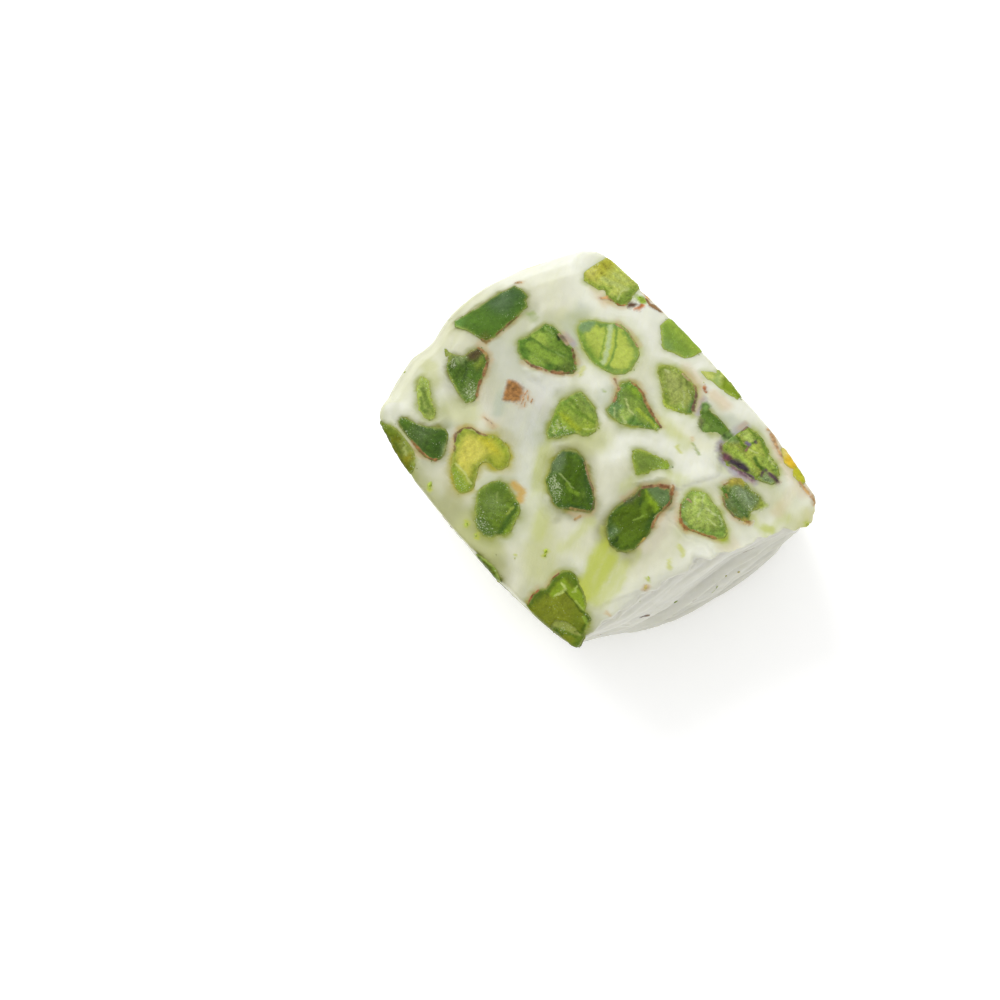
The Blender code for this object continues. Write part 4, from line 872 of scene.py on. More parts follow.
LINES = {
    "top_01": [
        ((184, 198, 116), 0.6, 0.35, (-12.8, 12.7), (-11.6, 13.3), (-10.3, 13.9)),
        ((184, 198, 116), 0.5, 0.25, (-12.4, 14), (-11, 14.4)),
        ((190, 202, 128), 0.7, 0.13, (-10.1, 14.1), (-10.5, 13.3), (-10, 12.5)),
        ((112, 134, 38), 0.8, 0.3, (-11.6, 12), (-10.4, 11.8), (-9.2, 12.2)),
        ((148, 164, 58), 0.8, 0.3, (-14.6, 11.4), (-13.9, 11.1), (-12.6, 11.6))],
    "top_02": [
        ((140, 172, 82), 0.85, 0.18, (-19.7, -2.9), (-18, -2.3), (-16.4, -1.7)),
        ((134, 156, 42), 0.9, 0.22, (-17.8, 5.4), (-16.4, 5.4)),
        ((130, 112, 50), 0.7, 0.14, (-18.6, 5), (-19, 2.6))],
    "top_03": [
        ((140, 158, 60), 0.8, 0.3, (-16.6, -5.9), (-15.2, -6.6), (-13, -7)),
        ((58, 82, 30), 0.7, 0.14, (-14.9, -4.2), (-14, -4.9), (-13.4, -5.9))],
    "top_04": [
        ((138, 168, 60), 0.8, 0.5, (-12.2, 2.2), (-10.4, 2.7), (-8.7, 3.6)),
        ((92, 124, 42), 0.85, 0.2, (-12.8, 2.8), (-10.8, 3.2), (-8.8, 4.5)),
        ((134, 164, 108), 0.85, 0.25, (-13.2, 1.2), (-12.2, 0.65), (-11.2, 0.6), (-10.2, 1)),
        ((140, 166, 126), 0.65, 0.25, (-13.1, 4.9), (-13.2, 3), (-13.3, 1.8)),
        (INK, 1, 0.2, (-10.85, 5.05), (-10.6, 5)),
        ((150, 176, 96), 0.6, 0.12, (-12.6, 4.6), (-11.4, 4.8)),
        ((150, 176, 96), 0.5, 0.1, (-9.8, 3.9), (-8.8, 4.2))],
    "top_05": [
        ((110, 146, 60), 0.85, 0.18, (-7.7, 10.5), (-6.4, 9.4), (-5.5, 8.3), (-4.9, 7.1)),
        ((110, 146, 60), 0.7, 0.14, (-8.6, 9.8), (-7.6, 8.9), (-6.8, 7.9), (-6.2, 7.1)),
        ((186, 204, 146), 1, 0.34, (-8.2, 10.1), (-7.2, 9.2), (-6.2, 8), (-5.6, 7.1)),
        ((190, 208, 120), 0.6, 0.12, (-9.9, 6.9), (-9, 6.6), (-8.2, 6.4))],
    "top_07": [
        ((106, 130, 50), 0.85, 0.25, (-15.6, -9.6), (-14.6, -9.9), (-13.6, -10.2)),
        ((102, 128, 48), 0.85, 0.25, (-14.8, -10.4), (-13.9, -10.9), (-13.4, -10.8)),
        ((110, 134, 52), 0.75, 0.22, (-13.4, -9.9), (-12.6, -10.3))],
    "top_08": [
        ((58, 86, 28), 0.8, 0.2, (-13.2, -13.9), (-12, -13.9)),
        ((110, 136, 58), 0.75, 0.22, (-13.4, -12.7), (-11.9, -11.7), (-11, -10.8))],
    "top_09": [
        ((198, 206, 128), 0.7, 0.16, (-6.9, -11.8), (-5.4, -11.6), (-4.2, -11.8)),
        ((120, 140, 44), 0.7, 0.16, (-9.3, -9.4), (-8.4, -10.5), (-7.6, -11.6)),
        ((204, 210, 130), 0.6, 0.12, (-9, -8.3), (-8.2, -7.9), (-7.4, -7.5))],
    "top_10": [
        ((68, 98, 28), 0.9, 0.4, (0.6, -9.5), (1.1, -10.6), (1.7, -12), (1.9, -12.8)),
        ((150, 168, 68), 0.8, 0.2, (0.6, -9.9), (0.8, -10.8)),
        ((150, 168, 90), 0.5, 0.12, (-1.8, -10.2), (-0.9, -10.9))],
    "top_11": [
        ((108, 138, 42), 0.85, 0.2, (-5, 1.9), (-3.4, 1.9), (-2, 2.1), (-1.2, 2.4)),
        ((112, 144, 44), 0.75, 0.18, (-5, 1.2), (-3.6, 1.4), (-2.6, 1.8)),
        ((190, 204, 120), 0.6, 0.12, (-0.6, 2.3), (-0.9, 1.5), (-1.3, 1.1)),
        ((186, 200, 130), 0.6, 0.13, (-3.8, -0.6), (-3.1, -0.9), (-2.7, -0.4)),
        ((186, 200, 130), 0.6, 0.12, (-3.6, -1.3), (-2.8, -1.6)),
        ((96, 124, 30), 0.7, 0.13, (-3.4, -0.3), (-2.9, -0.7), (-2.2, -0.6))],
    "top_12": [
        ((158, 180, 58), 0.85, 0.26, (0.6, 6.8), (2, 7), (3.4, 7.1)),
        ((190, 202, 128), 0.75, 0.13, (-1.1, 6.5), (0, 6.1), (1, 6.2)),
        ((190, 202, 128), 0.65, 0.12, (0.2, 5), (1, 4.9)),
        ((80, 116, 36), 0.7, 0.14, (0.9, 6.2), (1.4, 5.4), (1.2, 4.8)),
        ((188, 200, 130), 0.6, 0.12, (-0.9, 4.9), (-0.2, 4.4))],
    "top_13": [
        ((172, 192, 70), 0.95, 0.28, (1.5, 9.4), (2.3, 9.25), (3.2, 9.8)),
        ((196, 206, 140), 0.6, 0.16, (-0.9, 11.7), (-0.4, 11.8)),
        ((120, 136, 62), 0.6, 0.14, (0.9, 12.6), (1.6, 11.8), (1.5, 10.9)),
        ((190, 202, 136), 0.5, 0.12, (2.1, 11.7), (2.9, 11.3)),
        ((190, 202, 136), 0.5, 0.12, (3, 10.9), (3.5, 10.6))],
    "top_15": [
        ((96, 128, 32), 1, 0.2, (9.3, 12.9), (10.2, 13), (11.1, 12.9)),
        ((90, 122, 34), 1, 0.2, (10.9, 15), (11.1, 14.1), (11, 13.1)),
        ((90, 122, 38), 1, 0.26, (12.4, 13), (13.4, 12.9), (14.2, 13.1)),
        ((108, 138, 44), 0.9, 0.24, (9.8, 14.6), (11.4, 14.8), (12.6, 14.4), (13.6, 14.6)),
        ((128, 114, 146), 0.9, 0.26, (10.6, 13.4), (11, 13.5)),
        (PLUM, 0.8, 0.16, (11, 14.2), (11.3, 14.1)), (PLUM, 0.9, 0.22, (14.1, 12.8), (14.4, 12.4)),
        ((206, 218, 140), 0.6, 0.12, (11.4, 13.2), (12.2, 13.6)),
        ((206, 218, 140), 0.6, 0.12, (13.2, 14.2), (14.2, 14.1)),
        ((120, 96, 70), 0.7, 0.14, (11.1, 13.1), (11.3, 12.7))],
    "top_16": [
        ((158, 172, 82), 0.7, 0.28, (3.8, 4.3), (5.4, 5.2), (7, 5.9)),
        ((150, 170, 68), 0.7, 0.2, (4.4, 3), (5.4, 2.4), (6.2, 2.2))],
    "top_17": [
        ((146, 166, 96), 0.95, 0.11, (0.9, -3.95), (1.8, -3.8), (2.9, -3.65)),
        ((112, 142, 36), 0.85, 0.3, (2.2, -3.95), (3, -4), (3.8, -3.7)),
        ((160, 176, 120), 0.6, 0.1, (1.4, -4.8), (2, -4.9)),
        ((160, 176, 120), 0.6, 0.1, (1.8, -5.5), (2.4, -5.8)),
        ((160, 176, 120), 0.5, 0.09, (0.9, -4.5), (1.2, -4.8))],
    "top_18": [
        ((112, 142, 34), 0.6, 0.4, (8.9, 1.6), (9.3, 0.6), (9.9, 0.4)),
        ((142, 170, 70), 0.6, 0.13, (9.9, 0.2), (9.8, -0.4), (9.6, -0.9)),
        ((54, 80, 22), 0.9, 0.26, (10.1, -3.3), (10.3, -4.2)),
        ((56, 82, 26), 0.8, 0.13, (8.3, 1.2), (8.7, 0.7)),
        ((150, 176, 120), 0.5, 0.1, (9.2, -2.9), (9.5, -3.1)),
        ((96, 60, 36), 0.6, 0.16, (7.6, 1.7), (8, 1.2))],
    "top_19": [
        ((202, 214, 150), 0.7, 0.13, (12.2, 6.4), (13, 5.6), (13.6, 4.6)),
        ((202, 214, 150), 0.7, 0.13, (13.4, 5.8), (14.6, 6.2)),
        ((198, 212, 140), 0.6, 0.12, (14.2, 5.2), (15.4, 5.4)),
        ((140, 166, 106), 0.7, 0.28, (12.4, 2.9), (13.4, 3.1)),
        ((122, 150, 60), 0.6, 0.14, (12.8, 5.9), (13.3, 5.2), (13.1, 4.3)),
        ((202, 214, 150), 0.6, 0.11, (11.8, 5.7), (12.4, 5.1)),
        ((202, 214, 150), 0.6, 0.11, (14.9, 6.4), (15.9, 5.9))],
    "top_20": [
        ((86, 110, 58), 0.85, 0.22, (13.9, 7.75), (15.2, 7.7), (16.4, 7.8)),
        ((150, 168, 130), 0.5, 0.12, (14.2, 9.9), (15.4, 9.7)),
        ((70, 96, 44), 0.7, 0.14, (16.2, 8.9), (16.7, 8.5))],
    "top_21": [
        ((186, 202, 112), 0.95, 0.13, (10.1, -10.9), (10.9, -10.9), (11, -11.4), (10.8, -12.3)),
        ((172, 190, 100), 0.85, 0.13, (11.4, -9.8), (11.8, -10.3), (11.6, -10.5)),
        ((170, 190, 90), 0.8, 0.13, (12.6, -10.9), (13.8, -10.8)),
        ((142, 170, 60), 0.85, 0.18, (14.4, -11.3), (15.2, -11.4), (15.6, -11.9)),
        ((66, 88, 16), 0.7, 0.12, (11, -11.1), (12.6, -11.1), (13.9, -11.1))],
    "top_22": [
        ((176, 184, 110), 0.6, 0.14, (-11.8, -15), (-10.9, -15.3)),
        ((84, 104, 24), 0.7, 0.2, (-12.8, -15.4), (-11.6, -15.6))],
}
BLOOMS = {
    "top_02": [(0.5, (-18.6, 4.6), (-16.6, 4.2), (-16.6, 2), (-18.8, 1.4))],
    "top_03": [
        (1, (-16.2, -4.8), (-15, -4.9), (-15.1, -6.1), (-16.4, -5.9)),
        (1, (-13.1, -4.7), (-11.3, -4.9), (-10.9, -6.6), (-12.9, -6.5)),
        (0.6, (-15.7, -2.8), (-14.9, -3.2), (-15, -4.6), (-15.8, -4.4))],
    "top_08": [(0.8, (-9.6, -10.8), (-8.7, -11.3), (-8.1, -12.4), (-9, -12.2))],
    "top_09": [
        (0.8, (-6.6, -11.9), (-4.2, -11.9), (-3.8, -13.3), (-5.6, -13.2)),
        (0.6, (-9.7, -9), (-8.9, -8.2), (-8.6, -10.2), (-9.2, -10.4))],
    "top_10": [
        (0.9, (-2.8, -11.8), (0, -12.6), (1.5, -13), (1.5, -14.3), (-0.8, -14.3), (-2.8, -12.8)),
        (0.4, (-2.6, -9.4), (0.6, -9.6), (0.2, -12), (-2.4, -12))],
    "top_11": [(0.9, (-4.1, -0.2), (-1.9, -0.1), (-1.7, -1), (-2.5, -2.5), (-3.7, -2.3))],
    "top_13": [
        (0.7, (2.2, 12.9), (3.6, 12.7), (3.3, 11.7), (2.2, 11.8)),
        (0.6, (2.2, 11.2), (4, 11.2), (4, 10.2), (2.4, 10))],
    "top_15": [
        (0.5, (9.2, 13), (11, 13.1), (10.8, 12), (9.4, 11.4)),
        (0.6, (14.2, 13.2), (16, 13.2), (16, 12.2), (14.4, 11.8))],
    "top_17": [
        (1, (0.4, -4.1), (2.4, -4.3), (3.4, -5.2), (3.4, -6.5), (1.6, -6.1), (0.3, -5)),
        (0.4, (-1.1, -2), (0.6, -2.8), (0.6, -4.2), (-0.8, -3.6))],
    "top_18": [
        (0.6, (8.2, 3.2), (10.2, 3.4), (10.2, 2.4), (8.4, 2.4)),
        (0.6, (8.8, -2.8), (9.8, -2.8), (9.8, -3.9), (9, -3.9))],
    "top_19": [
        (0.7, (11, 5.4), (12.2, 4.6), (12.6, 3), (11.2, 3.8)),
        (0.4, (12.4, 6.5), (16.2, 6.2), (15.4, 4.6), (13, 4.4))],
    "top_20": [(0.7, (12.8, 10.4), (16.6, 10.6), (16.8, 8), (13.6, 7.8))],
}

kernel_material, nodes, shader, where = new_material("cut pistachio")
link = kernel_material.node_tree.links.new
flesh = add(nodes, "Attribute", attribute_name="tone").outputs["Color"]
coarse = noise_of(nodes, where, 2.2, 5.0)
fine = noise_of(nodes, where, 6.0, 4.0)
grain = number(nodes, "ADD", coarse, fine)
contrast = number(nodes, "MULTIPLY", number(nodes, "SUBTRACT", grain, 1.0), layer(nodes, "texture"))
shaded = times(nodes, flesh, ranged(nodes, contrast, 0.68, 1.32, (-0.3, 0.3)))
# White specks of dried nougat film, which also serve as painted glints.
film_and_glints = edge(nodes, layer(nodes, "bloom"), where, 0.15, 1.6, 0.08)
base = blend(nodes, number(nodes, "MULTIPLY", film_and_glints, 0.55), shaded, colour(*FILM_AND_GLINT))
link(base, shader.inputs["Base Color"])
link(ranged(nodes, coarse, 0.28, 0.55), shader.inputs["Roughness"])
bump = add(nodes, "Bump", inputs={"Height": grain, "Strength": 0.7, "Distance": 0.12 * MM})
link(bump.outputs[0], shader.inputs["Normal"])
shader.inputs["Subsurface Weight"].default_value = 0.15
shader.inputs["Subsurface Radius"].default_value = (0.7, 1.0, 0.3)
shader.inputs["Subsurface Scale"].default_value = 0.35 * MM
shader.inputs["Specular IOR Level"].default_value = 0.08


# How strongly a kernel's grain shows, where it isn't the common share
COMMON_ROUGHNESS = 0.8
ROUGHNESS = {
    "top_02": 0.45, "top_03": 0.9, "top_05": 0.35, "top_06": 0.45, "top_09": 0.45, "top_10": 0.7,
    "top_14": 0.5, "top_15": 1, "top_16": 0.6, "top_17": 0.6, "top_18": 0.55, "top_19": 0.9,
    "top_21": 0.45, "top_22": 0.5, "top_24": 0.4, "top_25": 0.4,
}


def inside(flat, corners):
    """How far each flat place is inside an area, in millimetres: below 0 outside it."""
    far, _ = away(flat, [*corners, corners[0]])
    odd = np.zeros(len(flat), bool)
    for (ax, ay), (bx, by) in zip(corners, [*corners[1:], corners[0]]):
        crossing = (ay > flat[:, 1]) != (by > flat[:, 1])
        odd ^= crossing & (flat[:, 0] < (bx - ax) * (flat[:, 1] - ay) / (by - ay + 1e-12) + ax)
    return np.where(odd, far, -far)


noise.seed_set(7)  # without it, the chips tilt another way on every run


def chips(places, size, seed):
    """Flat chips of a size in millimetres, each tilted its own way: their heights, and a random shade for
    each that is painted light and shade on the tilted chip.
    """
    shift = np.array([7.1, 3.3, 11.9]) * seed
    heights, shades = [], []
    for place in (places / size + shift).tolist():
        cell = noise.voronoi(place)[1][0]
        tilt = noise.noise_vector(cell * 3.7)
        heights.append(tilt.dot(Vector(place) - cell) * 2)
        shades.append(noise.noise(cell * 5.3))
    return np.array(heights), np.array(shades)


outlines = {}


def sides_of(node):
    """Search trees over a kernel's faces that the nougat covers and its cut ones, and how these look."""
    mesh = frame["nodes"][node].data
    corners = [v.co / MM for v in mesh.vertices]
    covered, cut, way = [], [], Vector()
    for face in mesh.polygons:
        found, normal, _, distance = nougat_tree.find_nearest(face.center / MM)
        if distance < 0.5 and normal.dot(face.normal) < -0.4:
            covered.append(list(face.vertices))
        else:
            cut.append(list(face.vertices))
            way += face.normal * face.area
    way.normalize()
    hidden, shown = ({tuple(round(c, 2) for c in corners[i]) for face in faces for i in face}
                     for faces in (covered, cut))
    outlines[node] = in_order(hidden & shown, way)
    return BVHTree.FromPolygons(corners, covered), BVHTree.FromPolygons(corners, cut), way


def in_order(spots, way):
    """A frame that looks one way from the middle of some spots, and the spots in it, in order round it."""
    spots = [Vector(spot) for spot in sorted(spots)]
    middle = sum(spots, Vector()) / max(len(spots), 1)
    across = way.orthogonal().normalized()
    place = Matrix((across, way.cross(across), way)).transposed().to_4x4()
    place.translation = middle
    flat_spots = [tuple((place.inverted() @ spot)[:2]) for spot in spots]
    return place, sorted(flat_spots, key=lambda spot: math.atan2(spot[1], spot[0]))


def beyond(faces, places):
    """How far each place is out beyond some faces, in millimetres, and which way they look there."""
    found = [faces.find_nearest(place)[:2] for place in places.tolist()]
    spots, normals = np.array([spot for spot, _ in found]), np.array([normal for _, normal in found])
    return ((places - spots) * normals).sum(1), normals


def cut_kernel(node, look, seed):
    """One cut kernel: its CAD solid remeshed fine, crumbled where cut, coloured from rim to core."""
    flesh, rim_tone, rim_width, crumble, bloom, turn, proud = look
    kernel = cad_copy(node, "cut_" + node)
    finish_with(kernel, "DISPLACE", strength=KERNEL_SPREAD * MM, mid_level=0)
    finish_with(kernel, "REMESH", mode="VOXEL", voxel_size=KERNEL_GRAIN * MM, use_smooth_shade=True)
    finish_with(kernel, "SMOOTH", factor=0.5, iterations=1)
    places, ups = read(kernel), read(kernel, "no")
    covered, open_faces, way = sides_of(node)
    way = np.array(way)
    lumps = cloud(places, 1.3, seed + 0.3, 3)
    crumbs = cloud(places, 0.45, seed + 0.7, 3)
    above, outward = beyond(open_faces, places)
    cut = smooth(((ups * outward).sum(1) - 0.1) / 0.5)
    places -= outward * np.maximum(above, 0)[:, None]
    depth = (0.08 + crumble) * lumps + (0.12 + 0.8 * crumble) * crumbs - beyond(covered, places)[0]
    across = np.cross(way, [0.3, 0.9, 0.1])
    across /= np.linalg.norm(across)
    along = np.cross(way, across)
    angle = math.radians(turn)
    grain_way = across * math.cos(angle) + along * math.sin(angle)
    grain = places - np.outer(places @ grain_way, grain_way) * 0.82
    fibres = cloud(grain, 0.4, seed + 0.9, 2)
    facets, shades = chips(grain + 0.15 * crumbs[:, None], 1.3, seed)
    lift = crumble * (0.6 * lumps + 0.6 * crumbs + 0.5 * fibres + 1.6 * facets) + proud
    lift = cut * lift * (0.3 + 0.7 * smooth(depth / 0.5)) - 0.12 * smooth((0.08 - depth) / 0.36)
    places += outward * ((lift + swell(places)) * smooth(above / 0.4 + 1))[:, None]
    places[:, 2] = np.maximum(places[:, 2], 0.0)
    write(kernel, places)
    inward = smooth((depth - 0.2 * rim_width + 0.15 * crumbs + 0.1 * lumps) / (1.9 * rim_width))
    tone = mixed(np.tile(rgb(rim_tone), (len(places), 1)), rgb(flesh), inward)
    wavy = places[:, :2] + 0.10 * np.stack([lumps + crumbs, crumbs - lumps], 1)
    name = node[10:]
    for mark, strength, soft, *corners in AREAS.get(name, []):
        here = smooth(inside(wavy, corners) / (3 * soft + 0.1) + 0.5)
        tone = mixed(tone, rgb(mark), strength * here * cut)
    rough = ROUGHNESS.get(name, COMMON_ROUGHNESS)
    # Crumbs, fibres and lumps vary the flesh's own tone; the chips' shades make each facet lighter or
    # darker, painted light and shade.
    tone *= (1 + rough * (0.20 * crumbs + 0.18 * fibres) + 0.08 * lumps + 0.18 * rough * shades)[:, None]
    for mark, strength, width, *points in LINES.get(name, []):
        here = smooth(1.3 * (1 - away(wavy, points)[0] / (1.2 * width)))
        tone = mixed(tone, rgb(mark), strength * here * cut)
    filmed = smooth((0.16 + 0.12 * crumbs - depth) / 0.3)
    paint(kernel, mixed(tone, 0.5 * rgb(GLOWS[SLOTS[node]]) + 0.5 * rgb(LIMED), 0.55 * filmed * cut))
    # The film's mask also sets the white specks, which are partly painted glints.
    film = 0.12 + 0.25 * bloom + 0.14 * lumps + 0.14 * fibres + 0.10 * smooth((0.45 - depth) / 0.4)
    for strength, *corners in BLOOMS.get(name, []):
        here = smooth(inside(wavy, corners) / 0.8 + 0.5)
        film = np.maximum(film, (0.42 * strength + 0.12 * lumps + 0.1 * fibres) * here)
    mask(kernel, "bloom", film * cut)
    mask(kernel, "texture", np.full(len(places), rough))
    kernel.data.materials.clear()
    kernel.data.materials.append(kernel_material)
    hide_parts(node)
    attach(kernel, "root")
    return kernel


cut_kernels = []
for index, node in enumerate(KERNELS):
    look = CUT_KERNELS.get(node[10:]) or SIDE_LOOKS[index % len(SIDE_LOOKS)]
    cut_kernels.append(cut_kernel(node, look, index + 1))


# ---------------------------------------------------------------- the skins and slivers
# Thin scraps of the nuts' papery brown and purple skin, which cling round the edges of the cut
# kernels, and slivers of nut that the knife has carried off. Each lies on the cut face or on
# another side, pressed into the soft nougat, with a torn edge.

SCRAP_GRAIN = 0.09
SCRAP_LIFT, SCRAP_BODY = 0.010, 0.045  # how high a scrap's edge lies, and how much its middle adds
HUG_GAP, HUG_REACH = 0.06, 0.6  # skin this near a nut clings to it, and leaves this gap
LOOSE_SLIVERS = 34
# Wider scraps: tone, and the corners of each
PATCHES = [
    ((150, 104, 50), (-10.5, -1.9), (-10, -1.4), (-9.2, -1), (-8.7, -1.05), (-8.3, -1.5), (-8.1, -2.2),
     (-8.5, -3), (-9.2, -3.6), (-9.7, -3.2), (-10.3, -2.5)),
    ((122, 84, 36), (-10, -1.9), (-9.3, -1.4), (-8.8, -1.6), (-8.8, -2.4), (-9.3, -2.9), (-9.9, -2.4)),
    ((116, 92, 40), (-9.1, -1.6), (-8.7, -1.7), (-8.7, -2.1), (-9, -2.1)),
    ((70, 36, 14), (-9, 13), (-8.8, 13.5), (-8.5, 13.9), (-8.1, 13.9), (-8.3, 13.4), (-8.7, 12.8)),
    ((172, 102, 44), (-8.4, 13.2), (-8.1, 13.9), (-8.3, 14.3), (-7.7, 14.3), (-7.6, 13.6), (-8, 13.1)),
    ((134, 160, 44), (-9.3, 14.3), (-8.7, 14.9), (-7.9, 14.8), (-8.1, 14.2), (-8.6, 13.9), (-9, 14)),
    ((200, 160, 96), (-9.3, 14.9), (-8.6, 15.3), (-7.8, 15.2), (-7.9, 14.9), (-8.7, 15)),
    ((96, 128, 56), (4.2, 12.5), (4.6, 12.8), (5.2, 12.8), (5.2, 12.2), (4.6, 12)),
    ((94, 124, 54), (8.4, 12.9), (9, 12.95), (9.6, 12.7), (9.5, 12.1), (9, 11.8), (8.4, 11.9)),
    ((118, 150, 84), (8.7, 12.5), (9.3, 12.6), (9.3, 12.1), (8.8, 12)),
    ((104, 112, 60), (5.6, 11.3), (6.2, 11.2), (6.6, 10.6), (6.2, 10.7)),
    ((102, 62, 70), (9.1, 11.2), (9.6, 11), (10.4, 11.15), (11.2, 11.2), (11.2, 10.5), (10.5, 10.4),
     (9.8, 10.65), (9.2, 10.9)),
    ((58, 46, 58), (10.6, 11.15), (11.4, 11.3), (12.4, 11.7), (13.1, 11.9), (13.5, 11.75), (12.9, 11.35),
     (12, 10.95), (11.2, 10.7), (10.7, 10.8)),
    ((124, 92, 104), (11, 10.75), (12.4, 11), (13.4, 11.3), (14.2, 11.45), (14.2, 11.2), (13, 10.95),
     (11.8, 10.55)),
    ((84, 60, 66), (14, 13.1), (15, 13.3), (16.1, 13.5), (16.1, 13.3), (15, 13.05), (14.2, 12.9)),
    ((160, 150, 52), (12.5, 9.4), (12.8, 10.2), (13.5, 10.7), (13.7, 10.3), (13.1, 9.7), (12.9, 9.2)),
    ((170, 132, 58), (16.8, 8.2), (17.5, 8.6), (17.8, 8.2), (17.1, 7.8)),
    ((150, 166, 60), (16.4, 10.6), (17.1, 10.9), (17.3, 10.2), (16.8, 9.7)),
]


def surface(pieces, spot, out):
    """Where the outermost of some pieces is met on the way in to a spot, and its tone there."""
    start = Vector(spot) + out * 3
    best = None, None
    for piece in pieces:
        hit, place, _, face = piece.ray_cast(start * MM, -out, distance=6 * MM)
        if hit and (best[0] is None or (place / MM - best[0]).dot(out) > 0):
            corners = piece.data.polygons[face].vertices
            best = place / MM, painted[piece.name][list(corners)].mean(0)
    return best


def near_pieces(spot, reach):
    """The block and the cut kernels within reach of a spot."""
    found = [block]
    for kernel, low, high in kernel_boxes:
        if all(low[i] - reach < spot[i] < high[i] + reach for i in range(3)):
            found.append(kernel)
    return found


def hugging(place, point):
    """A point of a strip of skin, moved up against the kernel that it clings to if that is close."""
    spot = place @ Vector((*point, 0))
    side, _, _, far = nut_tree.find_nearest(spot)
    if HUG_GAP < far < HUG_REACH:
        spot = side + (spot - side) * (HUG_GAP / far)
    return tuple((place.inverted() @ spot)[:2])


def lay_scrap(tone, points, half_width, place, seed):
    """A scrap laid on the cut face by a frame: a strip through its points, or an area if it has no width."""
    outline = np.array(points, float)
    low, high = outline.min(0) - 0.6, outline.max(0) + 0.6
    columns = np.arange(low[0], high[0], SCRAP_GRAIN)
    rows = np.arange(low[1], high[1], SCRAP_GRAIN)
    spots = np.stack([np.tile(columns, len(rows)), np.repeat(rows, len(columns))], 1)
    spots3 = np.concatenate([spots, np.full((len(spots), 1), seed * 3.1)], 1)
    patchy = cloud(spots3, 1.1, seed + 0.5, 2)
    ragged = cloud(spots3, 0.4, seed, 3)
    if half_width:
        points = [hugging(place, point) for point in points]
        reach = 1.5 * half_width * (1 + 0.9 * patchy) + 0.03
        share = smooth(1.3 * (1 - away(spots, points)[0] / reach + 0.3 * ragged))
        share *= smooth(1.0 + 0.8 * ragged + 0.7 * patchy)
    else:
        share = smooth((inside(spots, points) + 0.3 + 0.3 * patchy) / 0.6) * smooth(1.6 + 0.6 * ragged)
    number_of = -np.ones(len(spots), int)
    corners, tones = [], []
    shades = 1.05 + 0.6 * cloud(spots3, 0.4, seed + 0.2, 3)
    pale = smooth(0.35 + 1.4 * cloud(spots3, 0.8, seed + 0.8, 2)) * (0.2 + 0.5 * (1 - smooth(share - 0.2)))
    brown = tone[0] > tone[1] > tone[2]
    if brown and half_width:
        tone = tuple(0.7 * c + 0.3 * d for c, d in zip(tone, (112, 98, 52)))
    if not half_width:
        pale *= 0.3
    if not brown:
        pale *= 0.15
    skin_tones = mixed(np.tile(rgb(tone), (len(spots), 1)), rgb((190, 156, 96)), pale) * shades[:, None]
    out = place.to_3x3() @ Vector((0, 0, 1))
    pieces = near_pieces(place @ Vector((*outline.mean(0), 0)), max(high - low))
    for i in np.nonzero(share > 0.01)[0]:
        met, under = surface(pieces, place @ Vector((*spots[i], 0)), out)
        if met is None:
            continue
        number_of[i] = len(corners)
        corners.append(met + out * (SCRAP_LIFT + SCRAP_BODY * share[i]))
        tones.append(under + (skin_tones[i] - under) * share[i])
    faces = []
    wide = len(columns)
    for i in range(len(spots) - wide - 1):
        square = [number_of[i], number_of[i + 1], number_of[i + wide + 1], number_of[i + wide]]
        if (i + 1) % wide and min(square) >= 0:
            faces.append(square)
    return corners, faces, tones


kernel_boxes = []
for kernel in cut_kernels:
    places = read(kernel)
    kernel_boxes.append((kernel, places.min(0), places.max(0)))

flat_on_top = Matrix.Translation((0, 0, TOP))
jobs = [(tone, points, width, flat_on_top) for tone, width, *points in STRIPS]
jobs += [(tone, points, 0, flat_on_top) for tone, *points in PATCHES]
SKIN_TONES = [(134, 88, 56), (118, 82, 52), (168, 116, 68), (150, 96, 50), (104, 74, 66)]
chance = random.Random(7)
for node in KERNELS:
    place, spots = outlines[node]
    if node.startswith("pistachio_top") or len(spots) < 5:
        continue
    for _ in range(chance.choice((1, 2, 2))):
        first = chance.randrange(len(spots))
        some = [(spots + spots)[first + i] for i in range(chance.randint(3, len(spots) // 2 + 1))]
        jobs.append((chance.choice(SKIN_TONES), some, chance.uniform(0.09, 0.17), place))


def new_piece(name, corners, faces, tones):
    """A piece built from its corners and faces, with a tone a corner."""
    mesh = bpy.data.meshes.new(name)
    mesh.from_pydata(corners, [], faces)
    mesh.update()
    piece = bpy.data.objects.new(name, mesh)
    bpy.context.scene.collection.objects.link(piece)
    mesh.shade_smooth()
    paint(piece, np.array(tones))
    return piece


def side_spot(low, high):
    """A spot on one of the bar's sides between two heights, and the way the side looks there."""
    angle = chance.uniform(0, 2 * math.pi)
    start = Vector((60 * math.cos(angle), 60 * math.sin(angle), chance.uniform(low, high)))
    aim = Vector((chance.uniform(-14, 14), chance.uniform(-8, 8), start.z))
    hit, spot, normal, _ = block.ray_cast(start * MM, (aim - start).normalized())
    return (spot / MM, normal) if hit else side_spot(low, high)


for _ in range(LOOSE_SLIVERS):
    spot, normal = side_spot(2, TOP - 2)
    place, _ = in_order([tuple(spot)], normal)
    turn, size = chance.uniform(0, math.pi), chance.uniform(0.2, 0.7)
    x, y = size * math.cos(turn), size * math.sin(turn)
    tone = chance.choice(SKIN_TONES + [(150, 176, 76), (172, 190, 90)])
    jobs.append((tone, [(x, y), (0.1, 0.05), (-x, -y)], chance.uniform(0.05, 0.13), place))

